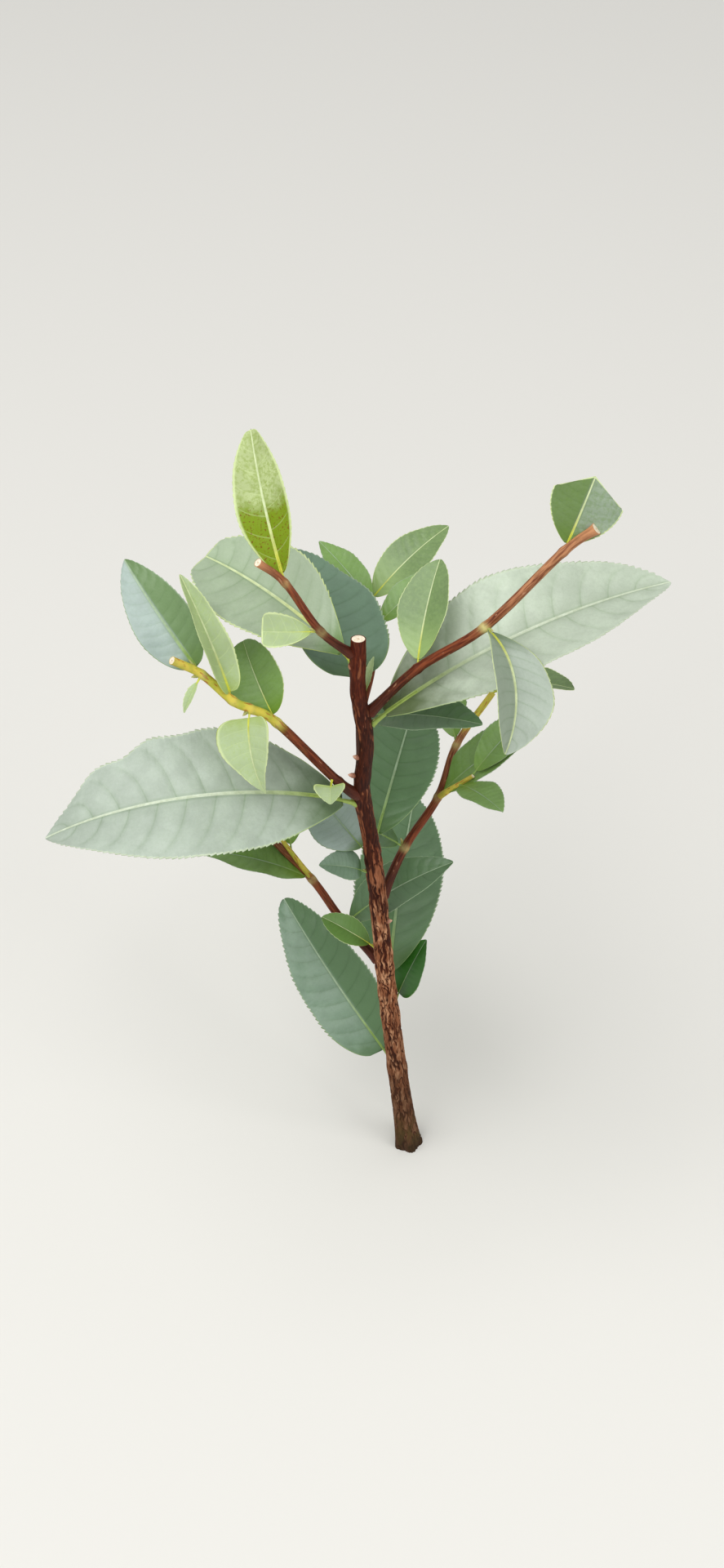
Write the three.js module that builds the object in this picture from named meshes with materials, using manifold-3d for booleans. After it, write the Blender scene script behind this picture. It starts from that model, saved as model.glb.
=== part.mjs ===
// A tea seedling in its first pruned frame. The woody main stem is cut off level near
// 0.3 m, side shoots have risen from the axils of its top leaves and are cut in turn,
// and the leaves are large and dull on the stem, small and fresh on the shoots.
// Millimetres and degrees, +Z up. The origin is the centre of the flat cut under the
// main stem at ground level. A heading turns from +X (0) to +Y (90), and a rise is
// measured up from the horizontal.
import * as THREE from 'three';
import { mergeVertices } from 'three/addons/utils/BufferGeometryUtils.js';
import Module from 'manifold-3d';

const wasm = await Module();
wasm.setup();

// Main stem: a tapered pole with a slightly flared, lobed foot, bent a little at each node
const STEM_HEIGHT = 294;
const STEM_RADIUS_FOOT = 4.3;
const STEM_RADIUS_TOP = 2.5;
const STEM_TAPER_POWER = 0.7;
const FLARE = 1.4;
const FLARE_HEIGHT = 12;
const FLARE_LOBES = 5;
const FLARE_LOBE_DEPTH = 0.09;
const NODE_SWELLING = 0.09;
const NODE_SWELLING_LENGTH = 3.5;
const TOP_CUT_SLOPE = 12;
const STEM_SIDES = 12;
const STEM_RINGS = 30;
const STEM_RING_POWER = 1.3;
// Sideways place of the stem's axis at evenly spaced heights, as [x, y]
const STEM_BENDS = [
  [0, 0], [-2.6, 0.7], [-5, 1.4], [-7.2, 1.8], [-9.3, 1.6], [-11.1, 0.9], [-12.7, 0],
  [-14.4, -0.7], [-16.6, -0.8], [-19.6, 0], [-18.3, 0.5], [-20.9, 0.5], [-20.8, -0.2],
];

// Clearance wherever one piece meets the next, and the passes that seat a root by it
const JOINT_GAP = 0.3;
const SEAT_PASSES = 8;

// Limbs and twigs: sides round them, and rings along them
const LIMB_SIDES = 8;
const LIMB_RINGS = 5;
const TWIG_SIDES = 6;
const TWIG_RINGS_PER_JOINT = 2;
const SIDE_TWIG_SIDES = 5;
const SIDE_TWIG_RINGS = 2;

// Leaves: half the blade's width runs from a neck at the stalk over a swell to the tip,
// each a share of the greatest, and the blade's thickness is a share of its length
const LEAF_NECK = 0.07;
const LEAF_TIP = 0.02;
const LEAF_SWELL = 0.97;
const LEAF_THICKNESS_SHARE = 0.012;
const LEAF_THICKNESS_LEAST = 0.4;
const LARGE_LEAF = 40;
const LARGE_BLADE_STEPS = { along: 7, across: 4 };
const SMALL_BLADE_STEPS = { along: 5, across: 2 };
const STALK_SHARE = 0.05;
const STALK_LEAST = 2.2;
const STALK_SPARE_ON_TWIG = 1;
const STALK_REACH = 0.12;
const STALK_THICKNESS = 1.1;
const STALK_TAPER = 0.6;
const STALK_SIDES = 4;
const STALK_RINGS = 2;

// Buds: a small pointed body in each leaf's axil, and two that wait on the bare stem
const BUD_LENGTH = 3.2;
const BUD_RADIUS = 0.85;
const BUD_SEAT = 0.75;
const STEM_BUDS = [
  { height: 147, heading: -25, rise: 40 },
  { height: 236, heading: 205, rise: 40 },
];

// Hidden side shoots grow by a seeded rule: leaves stand at two fifths of a turn, and
// one joint also carries a side twig with a pair of leaves. Pairs of numbers are the
// least and greatest of what a draw gives.
const SEED = 4127;
const GROWTH = {
  swing: [5, 11],
  internode: 21,
  internodeShare: [0.9, 1.15],
  riseMore: [0, 6],
  leafTurn: 144,
  leafTurnMore: [0, 24],
  forwardPull: 0.8,
  leafLength: 47,
  leafLengthLoss: 0.1,
  leafLengthShare: [0.9, 1.1],
  leafRatio: 0.44,
  leafRoll: [-10, 10],
  leafFold: [10, 20],
  leafArch: [16, 36],
  leafRise: [14, 36],
  twigNode: 2,
  twigLength: 20,
  twigLengthShare: [0.8, 1.2],
  twigTurn: -30,
  twigRise: 48,
  twigRadius: 1.1,
  twigTaper: 0.3,
  twigLeafShare: [0.55, 0.7],
  twigLeafPlaces: { '-1': 0.6, 1: 0.94 },
  twigLeafAngle: 52,
  twigLeafRise: 26,
  radius: 1.8,
  tipRadius: 1.2,
  limbShare: 0.82,
};

// One leaf: where its blade points, its size, and how it is turned, folded and arched.
// roll tips the blade about its midrib, fold raises both halves, and arch is the bend
// from base to tip. widest moves the broadest place, nearer the base the smaller it is,
// and foot and point round the outline below and above that place, the smaller the
// fuller. A blade that was shorn keeps the first part of its midrib, cut, and its
// margins fall back from there by the share shorn.
function leaf(heading, rise, length, width, shape = {}) {
  const usual = { roll: 0, fold: 12, arch: 20, widest: 0.9, foot: 0.85, point: 0.8, cut: 1, shorn: 0 };
  return { heading, rise, length, width, ...usual, ...shape };
}

// Leaves that stand on the main stem, each at its height
const STEM_LEAVES = {
  leaf_low_left: {
    height: 52,
    ...leaf(128, 26, 74, 30, { roll: 37, fold: 11, arch: 26, widest: 0.75, foot: 0.53, point: 0.58 }),
  },
  leaf_low_back: {
    height: 88,
    ...leaf(48, 49, 24.5, 19, { roll: 11, fold: 18, arch: 14, widest: 0.7, foot: 0.6 }),
  },
  leaf_back_one: { height: 102, ...leaf(82, 12, 80, 35, { roll: 6, arch: 30 }) },
  leaf_small_front: {
    height: 128,
    ...leaf(158, 20, 20.5, 11, { roll: 26, fold: 22, arch: 46, widest: 0.98, point: 0.72 }),
  },
  leaf_mid_small: { height: 176, ...leaf(187, 18, 16, 13, { roll: 13, fold: 18, arch: 34, widest: 0.7 }) },
  leaf_mid_left: { height: 184, ...leaf(135, 25, 28.5, 22, { roll: 34, fold: 16, arch: 20, point: 0.7 }) },
  leaf_back_two: { height: 189, ...leaf(76, 8, 63.5, 29, { roll: -8, arch: 34 }) },
  leaf_large_left: {
    height: 213.5,
    ...leaf(188, -2, 104, 49, { roll: 13, fold: 6, arch: 68, foot: 1, point: 0.9 }),
  },
  leaf_large_right: {
    height: 251,
    ...leaf(20, 15, 107, 46, { roll: -3, fold: 18, arch: 37, widest: 0.89, foot: 1.03 }),
  },
  leaf_right_axil: { height: 259, ...leaf(70, 47, 11.5, 4, { fold: 50, arch: 20 }) },
  leaf_upper_back: {
    height: 268,
    ...leaf(110, 4, 64, 35, { roll: -13, fold: 7, arch: 32, widest: 0.71, foot: 0.55, point: 0.9 }),
  },
  leaf_upper_left: {
    height: 281,
    ...leaf(140, 5, 68.5, 35, { roll: 14, fold: 6, arch: 50, widest: 1.03, foot: 1, point: 0.9, cut: 0.88 }),
  },
};

// Side shoots that the seedling shows from the front: internodes as [length, heading,
// rise] from the stem outwards, leaves at the joints between them, and a small first
// leaf that hangs from a limb at a share of the shoot's path
const SHOWN_SHOOTS = [
  {
    name: 'right',
    height: 256,
    radius: 1.65,
    tipRadius: 1.45,
    limbShare: 0.86,
    internodes: [[26.2, 18, 43], [28.6, 2, 40], [36, 21, 42.5], [13.5, 5, 42]],
    leaves: [
      { node: 1, ...leaf(75, 34, 35, 19.5, { roll: 23, fold: 17, arch: 21, widest: 0.98, foot: 0.77, point: 0.66 }) },
      { node: 2, ...leaf(-84, -26, 42, 31, { roll: 45, fold: 15, arch: 76, widest: 1.05, foot: 0.73 }) },
      { node: 3, ...leaf(53, 54, 32, 24, { roll: -34, fold: 14, arch: 18, widest: 0.99, cut: 0.73, shorn: 0.26 }) },
    ],
  },
  {
    name: 'lower_left',
    height: 217.5,
    radius: 1.7,
    tipRadius: 1.4,
    limbShare: 0.9,
    internodes: [
      [13.5, 196, 50], [34.5, 175, 53], [12, 188, 42], [7.5, 191, 41], [14.7, 172, 48], [13.2, 198, 44],
    ],
    leaves: [
      { node: 2, ...leaf(117, 35, 27, 20, { roll: 34, fold: 17, arch: 34, foot: 0.72, point: 0.5 }) },
      { node: 3, ...leaf(-72, -48, 26, 25, { roll: -55, fold: 15, arch: 45, widest: 0.51, foot: 0.62, point: 1.1 }) },
      { node: 4, ...leaf(129, 55, 43, 13.5, { roll: 4, fold: 44, widest: 0.68, foot: 0.62, point: 0.64 }) },
      { node: 5, ...leaf(130, 30, 43, 20, { roll: 34, fold: 11, arch: 38, widest: 0.77, foot: 0.76, point: 0.75 }) },
      { node: 5, ...leaf(-118, -34, 11, 4, { fold: 40, arch: 20 }) },
    ],
    limbLeaf: {
      name: 'leaf_shoot_foot',
      share: 0.188,
      ...leaf(-91, -29, 6.5, 11.5, { roll: -13, fold: 21, arch: 40, widest: 0.42, foot: 0.45 }),
    },
  },
  {
    name: 'upper_left',
    height: 285,
    radius: 1.4,
    tipRadius: 1.2,
    limbShare: 0.82,
    internodes: [[19.2, 193, 50], [20, 151, 50], [14, 198, 52]],
    leaves: [
      { node: 1, ...leaf(-178, 4, 27.5, 12.5, { roll: 33, fold: 25, arch: -30, cut: 0.58 }) },
      { node: 2, ...leaf(106, 40, 48.5, 18.7, { roll: 26, fold: 22, arch: 30, point: 0.76, cut: 0.97 }) },
    ],
  },
];

// Side shoots behind, which grow by the rule alone: height on the stem, heading, rise,
// joints, and which way round the leaves spiral
const RULE_SHOOTS = [
  { name: 'back_right', height: 158, heading: 54, rise: 34, nodes: 4, spiral: 1 },
  { name: 'back_left', height: 119, heading: 142, rise: 34, nodes: 4, spiral: -1 },
  { name: 'back_top', height: 228, heading: 84, rise: 17, nodes: 3, spiral: -1 },
];

const BARK = { color: '#5b3a28', roughness: 0.85, metalness: 0 };
const SHOOT_BARK = { color: '#6a3a22', roughness: 0.6, metalness: 0 };
const STEM_LEAF = { color: '#7f9a7c', roughness: 0.5, metalness: 0 };
const YOUNG_LEAF = { color: '#94b06a', roughness: 0.45, metalness: 0 };

const radians = THREE.MathUtils.degToRad;

// The unit vector of a heading and a rise
function direction(heading, rise) {
  const flat = Math.cos(radians(rise));
  return new THREE.Vector3(
    flat * Math.cos(radians(heading)),
    flat * Math.sin(radians(heading)),
    Math.sin(radians(rise)),
  );
}

// Draws between 0 and 1 that are the same on every run
function seededDraws(seed) {
  let state = seed;
  return () => {
    state = (state * 16807) % 2147483647;
    return state / 2147483647;
  };
}

// One draw between the least and the greatest
function drawn(draw, [least, greatest]) {
  return least + (greatest - least) * draw();
}

// A smooth path through points, as a function of the share of the way along it
function pathThrough(points) {
  const curve = new THREE.CatmullRomCurve3(points, false, 'catmullrom', 0.5);
  return (share) => curve.getPoint(Math.min(1, Math.max(0, share)));
}

// The step of a path from a little before a share of it to a little after
function stepAt(pathAt, share, reach) {
  return pathAt(share + reach).sub(pathAt(share - reach));
}

const stemBends = pathThrough(STEM_BENDS.map(([x, y]) => new THREE.Vector3(x, y, 0)));

// The stem's axis at a height
function stemAxis(height) {
  const place = stemBends(height / STEM_HEIGHT);
  return new THREE.Vector3(place.x, place.y, height);
}

const NODE_HEIGHTS = [
  ...Object.values(STEM_LEAVES).map((entry) => entry.height),
  ...SHOWN_SHOOTS.map((shoot) => shoot.height),
  ...RULE_SHOOTS.map((shoot) => shoot.height),
];

// The stem's radius at a height, before the foot's lobes
function stemRadius(height) {
  const share = Math.min(1, Math.max(0, height / STEM_HEIGHT));
  const taper = STEM_RADIUS_FOOT - (STEM_RADIUS_FOOT - STEM_RADIUS_TOP) * share ** STEM_TAPER_POWER;
  const flare = FLARE * Math.exp(-height / FLARE_HEIGHT);
  const swellings = NODE_HEIGHTS.map(
    (node) => Math.exp(-(((height - node) / NODE_SWELLING_LENGTH) ** 2)),
  );
  return taper * (1 + NODE_SWELLING * Math.max(...swellings)) + flare;
}

// Slides a point along a line until it lies just off the stem's bark
function seatOnStem(point, line) {
  const flat = Math.hypot(line.x, line.y);
  for (let pass = 0; pass < SEAT_PASSES; pass += 1) {
    const axis = stemAxis(point.z);
    const away = Math.hypot(point.x - axis.x, point.y - axis.y);
    point.addScaledVector(line, (stemRadius(point.z) + JOINT_GAP - away) / flat);
  }
}

// A closed tube: a cylinder whose rings are set along a path with a radius for each.
// A root line seats its first ring on the stem.
function tube(pathAt, radiusAt, sides, rings, rootLine = null) {
  const geometry = new THREE.CylinderGeometry(1, 1, 1, sides, rings);
  const position = geometry.attributes.position;
  for (let i = 0; i < position.count; i += 1) {
    const share = position.getY(i) + 0.5;
    const ahead = stepAt(pathAt, share, 0.01).normalize();
    const side = new THREE.Vector3(0, 0, 1).cross(ahead).normalize();
    const over = side.clone().cross(ahead);
    const radius = radiusAt(share);
    const point = pathAt(share)
      .addScaledVector(side, position.getX(i) * radius)
      .addScaledVector(over, position.getZ(i) * radius);
    if (rootLine && share === 0) {
      seatOnStem(point, rootLine);
    }
    position.setXYZ(i, point.x, point.y, point.z);
  }
  return geometry;
}

function solidOf(geometry) {
  const bare = geometry.clone();
  bare.deleteAttribute('normal');
  bare.deleteAttribute('uv');
  const merged = mergeVertices(bare, 1e-4);
  const mesh = new wasm.Mesh({
    numProp: 3,
    vertProperties: Float32Array.from(merged.attributes.position.array),
    triVerts: Uint32Array.from(merged.index.array),
  });
  return new wasm.Manifold(mesh);
}

function geometryOf(solid) {
  const { vertProperties, triVerts } = solid.getMesh();
  const geometry = new THREE.BufferGeometry();
  geometry.setAttribute('position', new THREE.BufferAttribute(vertProperties, 3));
  geometry.setIndex(new THREE.BufferAttribute(triVerts, 1));
  geometry.computeVertexNormals();
  return geometry;
}

// Fuses pieces into one body, and drops a scrap that the fusing leaves loose
function fuse(geometries) {
  const whole = geometries.map(solidOf).reduce((body, piece) => body.add(piece));
  return whole.decompose().reduce((most, body) => (body.volume() > most.volume() ? body : most));
}

// The stem, cut flat at the ground and a little aslant at its top
function stemGeometry() {
  const geometry = new THREE.CylinderGeometry(1, 1, 1, STEM_SIDES, STEM_RINGS);
  const position = geometry.attributes.position;
  const slope = Math.tan(radians(TOP_CUT_SLOPE));
  for (let i = 0; i < position.count; i += 1) {
    const share = (position.getY(i) + 0.5) ** STEM_RING_POWER;
    const height = share * STEM_HEIGHT;
    const axis = stemAxis(height);
    const turn = Math.atan2(position.getZ(i), position.getX(i));
    const lobe = FLARE_LOBE_DEPTH * Math.cos(FLARE_LOBES * turn) * Math.exp(-height / FLARE_HEIGHT);
    const radius = stemRadius(height) * (1 + lobe);
    const x = position.getX(i) * radius;
    const y = -position.getZ(i) * radius;
    const tilt = share === 1 ? -slope * y : 0;
    position.setXYZ(i, axis.x + x, axis.y + y, height + tilt);
  }
  return geometry;
}

// A leaf's own directions: along its chord, out to its right, and up from its face
function leafFrame(spec) {
  const along = direction(spec.heading, spec.rise);
  const level = direction(spec.heading - 90, 0);
  const face = level.clone().cross(along);
  const roll = radians(spec.roll);
  const side = level.clone().multiplyScalar(Math.cos(roll)).addScaledVector(face, Math.sin(roll));
  return { along, side, up: side.clone().cross(along) };
}

// The blade's middle line is an arc over its chord
function midrib(spec, frame, base, share) {
  const half = radians(spec.arch) / 2;
  const radius = spec.length / (2 * Math.sin(half));
  const angle = half - share * 2 * half;
  const run = radius * (Math.sin(half) - Math.sin(angle));
  const lift = radius * (Math.cos(angle) - Math.cos(half));
  return {
    point: base.clone().addScaledVector(frame.along, run).addScaledVector(frame.up, lift),
    normal: frame.up.clone().multiplyScalar(Math.cos(angle)).addScaledVector(frame.along, -Math.sin(angle)),
  };
}

// Half the blade's width at a share of its length
function halfWidth(spec, share) {
  const turn = Math.PI * Math.min(1, share) ** spec.widest;
  const swell = Math.max(0, Math.sin(turn)) ** (turn < Math.PI / 2 ? spec.foot : spec.point);
  return (spec.width / 2) * (LEAF_NECK * (1 - share) + LEAF_TIP + LEAF_SWELL * swell);
}

function leafThickness(spec) {
  return Math.max(LEAF_THICKNESS_LEAST, LEAF_THICKNESS_SHARE * spec.length);
}

// A blade: a thin box set out along the midrib and folded up on both sides of it
function bladeGeometry(spec, frame, base) {
  const steps = spec.length > LARGE_LEAF ? LARGE_BLADE_STEPS : SMALL_BLADE_STEPS;
  const geometry = new THREE.BoxGeometry(1, 1, 1, steps.along, steps.across, 1);
  const position = geometry.attributes.position;
  const thickness = leafThickness(spec);
  const fold = radians(spec.fold);
  for (let i = 0; i < position.count; i += 1) {
    const row = (position.getX(i) + 0.5) * spec.cut;
    const across = position.getY(i) * 2;
    const { point, normal } = midrib(spec, frame, base, row * (1 - spec.shorn * Math.abs(across)));
    const half = halfWidth(spec, row * (1 - spec.shorn));
    point
      .addScaledVector(frame.side, -across * half * Math.cos(fold))
      .addScaledVector(normal, Math.abs(across) * half * Math.sin(fold))
      .addScaledVector(normal, position.getZ(i) * thickness);
    position.setXYZ(i, point.x, point.y, point.z);
  }
  return geometry;
}

// A leaf on its stalk, which starts inside a twig or, where it keeps clear of the axis of
// a limb or the stem, just off the bark
function leafGeometries(spec, anchor, clear = 0, onStem = false) {
  const frame = leafFrame(spec);
  const half = radians(spec.arch) / 2;
  const out = frame.along.clone().multiplyScalar(Math.cos(half)).addScaledVector(frame.up, Math.sin(half));
  const stalk = Math.max(STALK_LEAST, STALK_SHARE * spec.length) + (clear ? 0 : STALK_SPARE_ON_TWIG);
  const start = onStem ? clear / Math.hypot(out.x, out.y) : clear;
  const base = anchor.clone().addScaledVector(out, start + stalk);
  const root = anchor.clone().addScaledVector(out, start);
  const thickness = leafThickness(spec);
  const inner = midrib(spec, frame, base, STALK_REACH).point;
  const stalkTube = tube(
    pathThrough([root, base, inner]),
    (share) => thickness * (STALK_THICKNESS - STALK_TAPER * share),
    STALK_SIDES,
    STALK_RINGS,
    onStem ? out : null,
  );
  return [stalkTube, bladeGeometry(spec, frame, base)];
}

// A bud that points out from an anchor on a twig, or from one on the stem's axis
function budGeometry(anchor, out, offAxis) {
  const geometry = new THREE.OctahedronGeometry(1);
  geometry.scale(BUD_RADIUS, BUD_LENGTH / 2, BUD_RADIUS);
  geometry.applyQuaternion(new THREE.Quaternion().setFromUnitVectors(new THREE.Vector3(0, 1, 0), out));
  const centre = anchor.clone().addScaledVector(out, offAxis);
  return geometry.translate(centre.x, centre.y, centre.z);
}

// The joints of a shoot, from the stem's axis outwards
function shootPoints(start, internodes) {
  const points = [start];
  for (const [length, heading, rise] of internodes) {
    points.push(points.at(-1).clone().addScaledVector(direction(heading, rise), length));
  }
  return points;
}

// A hidden shoot: its internodes swing to and fro and its leaves stand in a spiral
function grownShoot(rule, draw) {
  const shoot = { ...GROWTH, ...rule, internodes: [], leaves: [], twigs: [] };
  for (let node = 1; node <= rule.nodes; node += 1) {
    const swing = (node % 2 ? 1 : -1) * drawn(draw, GROWTH.swing);
    const internode = GROWTH.internode * drawn(draw, GROWTH.internodeShare);
    shoot.internodes.push([internode, rule.heading + swing, rule.rise + drawn(draw, GROWTH.riseMore)]);
    const turn = GROWTH.leafTurn * node + drawn(draw, GROWTH.leafTurnMore);
    const out = direction(rule.heading + rule.spiral * turn, 0)
      .addScaledVector(direction(rule.heading, 0), GROWTH.forwardPull);
    const heading = THREE.MathUtils.radToDeg(Math.atan2(out.y, out.x));
    const age = 1 - GROWTH.leafLengthLoss * (node - 1);
    const length = GROWTH.leafLength * age * drawn(draw, GROWTH.leafLengthShare);
    const roll = drawn(draw, GROWTH.leafRoll);
    const fold = drawn(draw, GROWTH.leafFold);
    const arch = drawn(draw, GROWTH.leafArch);
    const rise = drawn(draw, GROWTH.leafRise);
    shoot.leaves.push({ node, ...leaf(heading, rise, length, length * GROWTH.leafRatio, { roll, fold, arch }) });
    if (node === GROWTH.twigNode) {
      const twigLength = GROWTH.twigLength * drawn(draw, GROWTH.twigLengthShare);
      const leafLength = GROWTH.leafLength * drawn(draw, GROWTH.twigLeafShare);
      shoot.twigs.push({ node, length: twigLength, heading: heading + GROWTH.twigTurn, leafLength });
    }
  }
  return shoot;
}

// A side twig with a leaf to each side of it
function twigGeometries(twig, root) {
  const tip = root.clone().addScaledVector(direction(twig.heading, GROWTH.twigRise), twig.length);
  const pathAt = (share) => root.clone().lerp(tip, share);
  const radiusAt = (share) => GROWTH.twigRadius - GROWTH.twigTaper * share;
  const pieces = [tube(pathAt, radiusAt, SIDE_TWIG_SIDES, SIDE_TWIG_RINGS)];
  for (const side of [-1, 1]) {
    const heading = twig.heading + GROWTH.twigLeafAngle * side;
    const width = twig.leafLength * GROWTH.leafRatio;
    const spec = leaf(heading, GROWTH.twigLeafRise, twig.leafLength, width);
    pieces.push(...leafGeometries(spec, pathAt(GROWTH.twigLeafPlaces[side])));
  }
  return pieces;
}

// The twig past a shoot's limb, with its buds, leaves and side twigs, fused into a mass
function foliageGeometry(shoot, points, pathAt, radiusAt, from) {
  const onward = (share) => from + (1 - from) * share;
  const rings = TWIG_RINGS_PER_JOINT * shoot.internodes.length;
  const pieces = [tube((s) => pathAt(onward(s)), (s) => radiusAt(onward(s)), TWIG_SIDES, rings)];
  for (const spec of shoot.leaves) {
    const [, heading, rise] = shoot.internodes[spec.node - 1];
    const budLine = direction(spec.heading, spec.rise).add(direction(heading, rise)).normalize();
    pieces.push(...leafGeometries(spec, points[spec.node]));
    pieces.push(budGeometry(points[spec.node], budLine, BUD_LENGTH * BUD_SEAT));
  }
  for (const twig of shoot.twigs ?? []) {
    pieces.push(...twigGeometries(twig, points[twig.node]));
  }
  return geometryOf(fuse(pieces));
}

const seedling = new THREE.Group();

function addPiece(name, geometry, finish) {
  const mesh = new THREE.Mesh(geometry, new THREE.MeshStandardMaterial(finish));
  mesh.name = name;
  seedling.add(mesh);
}

// A shoot is a limb from the stem to near its first joint with a leaf, then a mass of
// foliage. A limb may also carry one small leaf of its own.
function addShoot(shoot) {
  const [, heading, rise] = shoot.internodes[0];
  const rootLine = direction(heading, rise);
  const points = shootPoints(stemAxis(shoot.height), shoot.internodes);
  const pathAt = pathThrough(points);
  const radiusAt = (share) => THREE.MathUtils.lerp(shoot.radius, shoot.tipRadius, share);
  const limbEnd = shoot.limbShare * (shoot.leaves[0].node / shoot.internodes.length);
  const speed = stepAt(pathAt, limbEnd, 0.005).length() / 0.01;
  const bark = stemRadius(shoot.height) / Math.hypot(rootLine.x, rootLine.y);
  const limbStart = bark / speed;
  const inLimb = (share) => THREE.MathUtils.lerp(limbStart, limbEnd, share);
  const limb = tube((s) => pathAt(inLimb(s)), (s) => radiusAt(inLimb(s)), LIMB_SIDES, LIMB_RINGS, rootLine);
  addPiece(`bough_${shoot.name}`, limb, SHOOT_BARK);
  const foliage = foliageGeometry(shoot, points, pathAt, radiusAt, limbEnd + JOINT_GAP / speed);
  addPiece(`foliage_${shoot.name}`, foliage, YOUNG_LEAF);
  if (shoot.limbLeaf) {
    const { name, share } = shoot.limbLeaf;
    const pieces = leafGeometries(shoot.limbLeaf, pathAt(share), radiusAt(share) + JOINT_GAP);
    addPiece(name, geometryOf(fuse(pieces)), YOUNG_LEAF);
  }
}

function addStemLeaf(name, spec) {
  const pieces = leafGeometries(spec, stemAxis(spec.height), stemRadius(spec.height) + JOINT_GAP, true);
  addPiece(name, geometryOf(fuse(pieces)), STEM_LEAF);
}

function addStem() {
  const buds = STEM_BUDS.map(({ height, heading, rise }) => budGeometry(
    stemAxis(height),
    direction(heading, rise),
    stemRadius(height) + BUD_LENGTH / 2,
  ));
  addPiece('main_stem', geometryOf(fuse([stemGeometry(), ...buds])), BARK);
}

addStem();
SHOWN_SHOOTS.forEach(addShoot);
const draw = seededDraws(SEED);
RULE_SHOOTS.map((rule) => grownShoot(rule, draw)).forEach(addShoot);
Object.entries(STEM_LEAVES).forEach(([name, spec]) => addStemLeaf(name, spec));

export default seedling;
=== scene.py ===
# A young tea plant in its first pruned frame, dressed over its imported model. The woody
# stem, the side shoots and every leaf stand where the model has them and grow by the
# same rule, and are carried on here to bark, cut faces, buds, veins and toothed margins.
# Metres and degrees, +Z up. A heading turns from +X (0) to +Y (90), and a rise is
# measured up from the horizontal.
import math

import bmesh
import bpy
import numpy as np
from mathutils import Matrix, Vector, noise


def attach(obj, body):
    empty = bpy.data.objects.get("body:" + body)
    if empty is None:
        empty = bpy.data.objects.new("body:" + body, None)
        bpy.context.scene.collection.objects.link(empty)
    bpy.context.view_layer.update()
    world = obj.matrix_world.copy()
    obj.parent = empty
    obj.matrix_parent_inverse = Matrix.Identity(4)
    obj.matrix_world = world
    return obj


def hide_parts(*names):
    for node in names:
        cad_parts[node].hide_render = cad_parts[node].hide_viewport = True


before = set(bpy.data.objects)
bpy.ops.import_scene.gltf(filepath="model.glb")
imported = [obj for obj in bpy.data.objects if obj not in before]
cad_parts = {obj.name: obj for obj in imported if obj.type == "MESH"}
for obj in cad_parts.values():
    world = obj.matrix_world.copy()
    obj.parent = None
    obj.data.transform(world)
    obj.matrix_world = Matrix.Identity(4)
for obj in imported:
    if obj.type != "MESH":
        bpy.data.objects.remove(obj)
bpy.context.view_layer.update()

# The main stem
# A woody pole of green wood under bark, which was cut off a little aslant at its first
# pruning. Low down the bark has split into long winding orange-tan strips with dark
# cracks, and towards the top it is still smooth, dark red-brown and flecked with pale.
STEM_HEIGHT = 0.294
STEM_RADIUS_FOOT = 0.0043
STEM_RADIUS_TOP = 0.0025
STEM_TAPER_POWER = 0.7
FLARE = 0.0014
FLARE_HEIGHT = 0.012
FLARE_LOBES = 5
FLARE_LOBE_DEPTH = 0.09
NODE_SWELLING = 0.09
NODE_SWELLING_LENGTH = 0.0035
TOP_CUT_SLOPE = math.radians(12)
TOP_CUT_REACH = 0.004
# Widths of bark and then of wood on the cut face, beside its radius, and the finish inside each
WOOD_SLOT, PITH_SLOT = 1, 2
TOP_INSETS = [(0.13, WOOD_SLOT), (0.72, PITH_SLOT)]
STEM_SIDES = 112
STEM_CUTS = (100, 7)
UPRIGHT_WITHIN = 1e-6
SMOOTH_BELOW = math.radians(50)
# Sideways place of the stem's axis at evenly spaced heights
STEM_BENDS = [
    (0, 0), (-0.0026, 0.0007), (-0.0050, 0.0014), (-0.0072, 0.0018), (-0.0093, 0.0016),
    (-0.0111, 0.0009), (-0.0127, 0), (-0.0144, -0.0007), (-0.0166, -0.0008), (-0.0196, 0),
    (-0.0183, 0.0005), (-0.0209, 0.0005), (-0.0208, -0.0002),
]
# Height on the stem of each leaf and side shoot
NODE_HEIGHTS = {
    "leaf_low_left": 0.052, "leaf_low_back": 0.088, "leaf_back_one": 0.102,
    "leaf_small_front": 0.128, "leaf_mid_small": 0.176, "leaf_mid_left": 0.184,
    "leaf_back_two": 0.189, "leaf_large_left": 0.2135, "leaf_large_right": 0.251,
    "leaf_right_axil": 0.259, "leaf_upper_back": 0.268, "leaf_upper_left": 0.281,
    "right": 0.256, "lower_left": 0.2175, "upper_left": 0.285,
    "back_right": 0.158, "back_left": 0.119, "back_top": 0.228,
}
# Pale scars that fallen leaves left just under the side shoots, by the shoots' headings
LEAF_SCARS = {
    "right": 20, "lower_left": 194, "upper_left": 192,
    "back_right": 54, "back_left": 142, "back_top": 84,
}
SCAR_DROP = 0.0034
SCAR_WIDTH = 0.0013
SCAR_HEIGHT = 0.0009
SCAR_LIFT = 0.00035
SCAR_RIM = (0.75, 1.1)
# Flakes are what lies between the cracks of a cloudy noise that is drawn out along the stem and warped
FLAKE_WIDTH = 0.0016
FLAKE_SLIMNESS = 0.14
FLAKE_LIFT = 0.00032
YOUNG_FLAKE_LIFT = 0.25
FLAKE_SEAT = 0.4
FLAKE_WARP = 0.0008
FLAKE_WARP_SCALE = 300
FLAKE_WARP_SEED = 12
CRACK = (0.05, 0.2)
RIDGE_LIFT = 0.00010
RIDGE_SCALE = 2.3
RIDGE_PULL = 0.4
PATCH_SCALE = 0.8
PATCH_SHIFT = (9, 4, 2)
PATCH_EDGE = 0.06
# How far the bark's cloudy pattern must rise before it turns to a pale flake, at heights on the stem
FLAKE_HEIGHTS = (0, 0.09, 0.14, 0.19, 0.24, 0.285)
FLAKE_LEVELS = (-0.5, -0.36, -0.2, 0.06, 0.24, 0.4)
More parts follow.
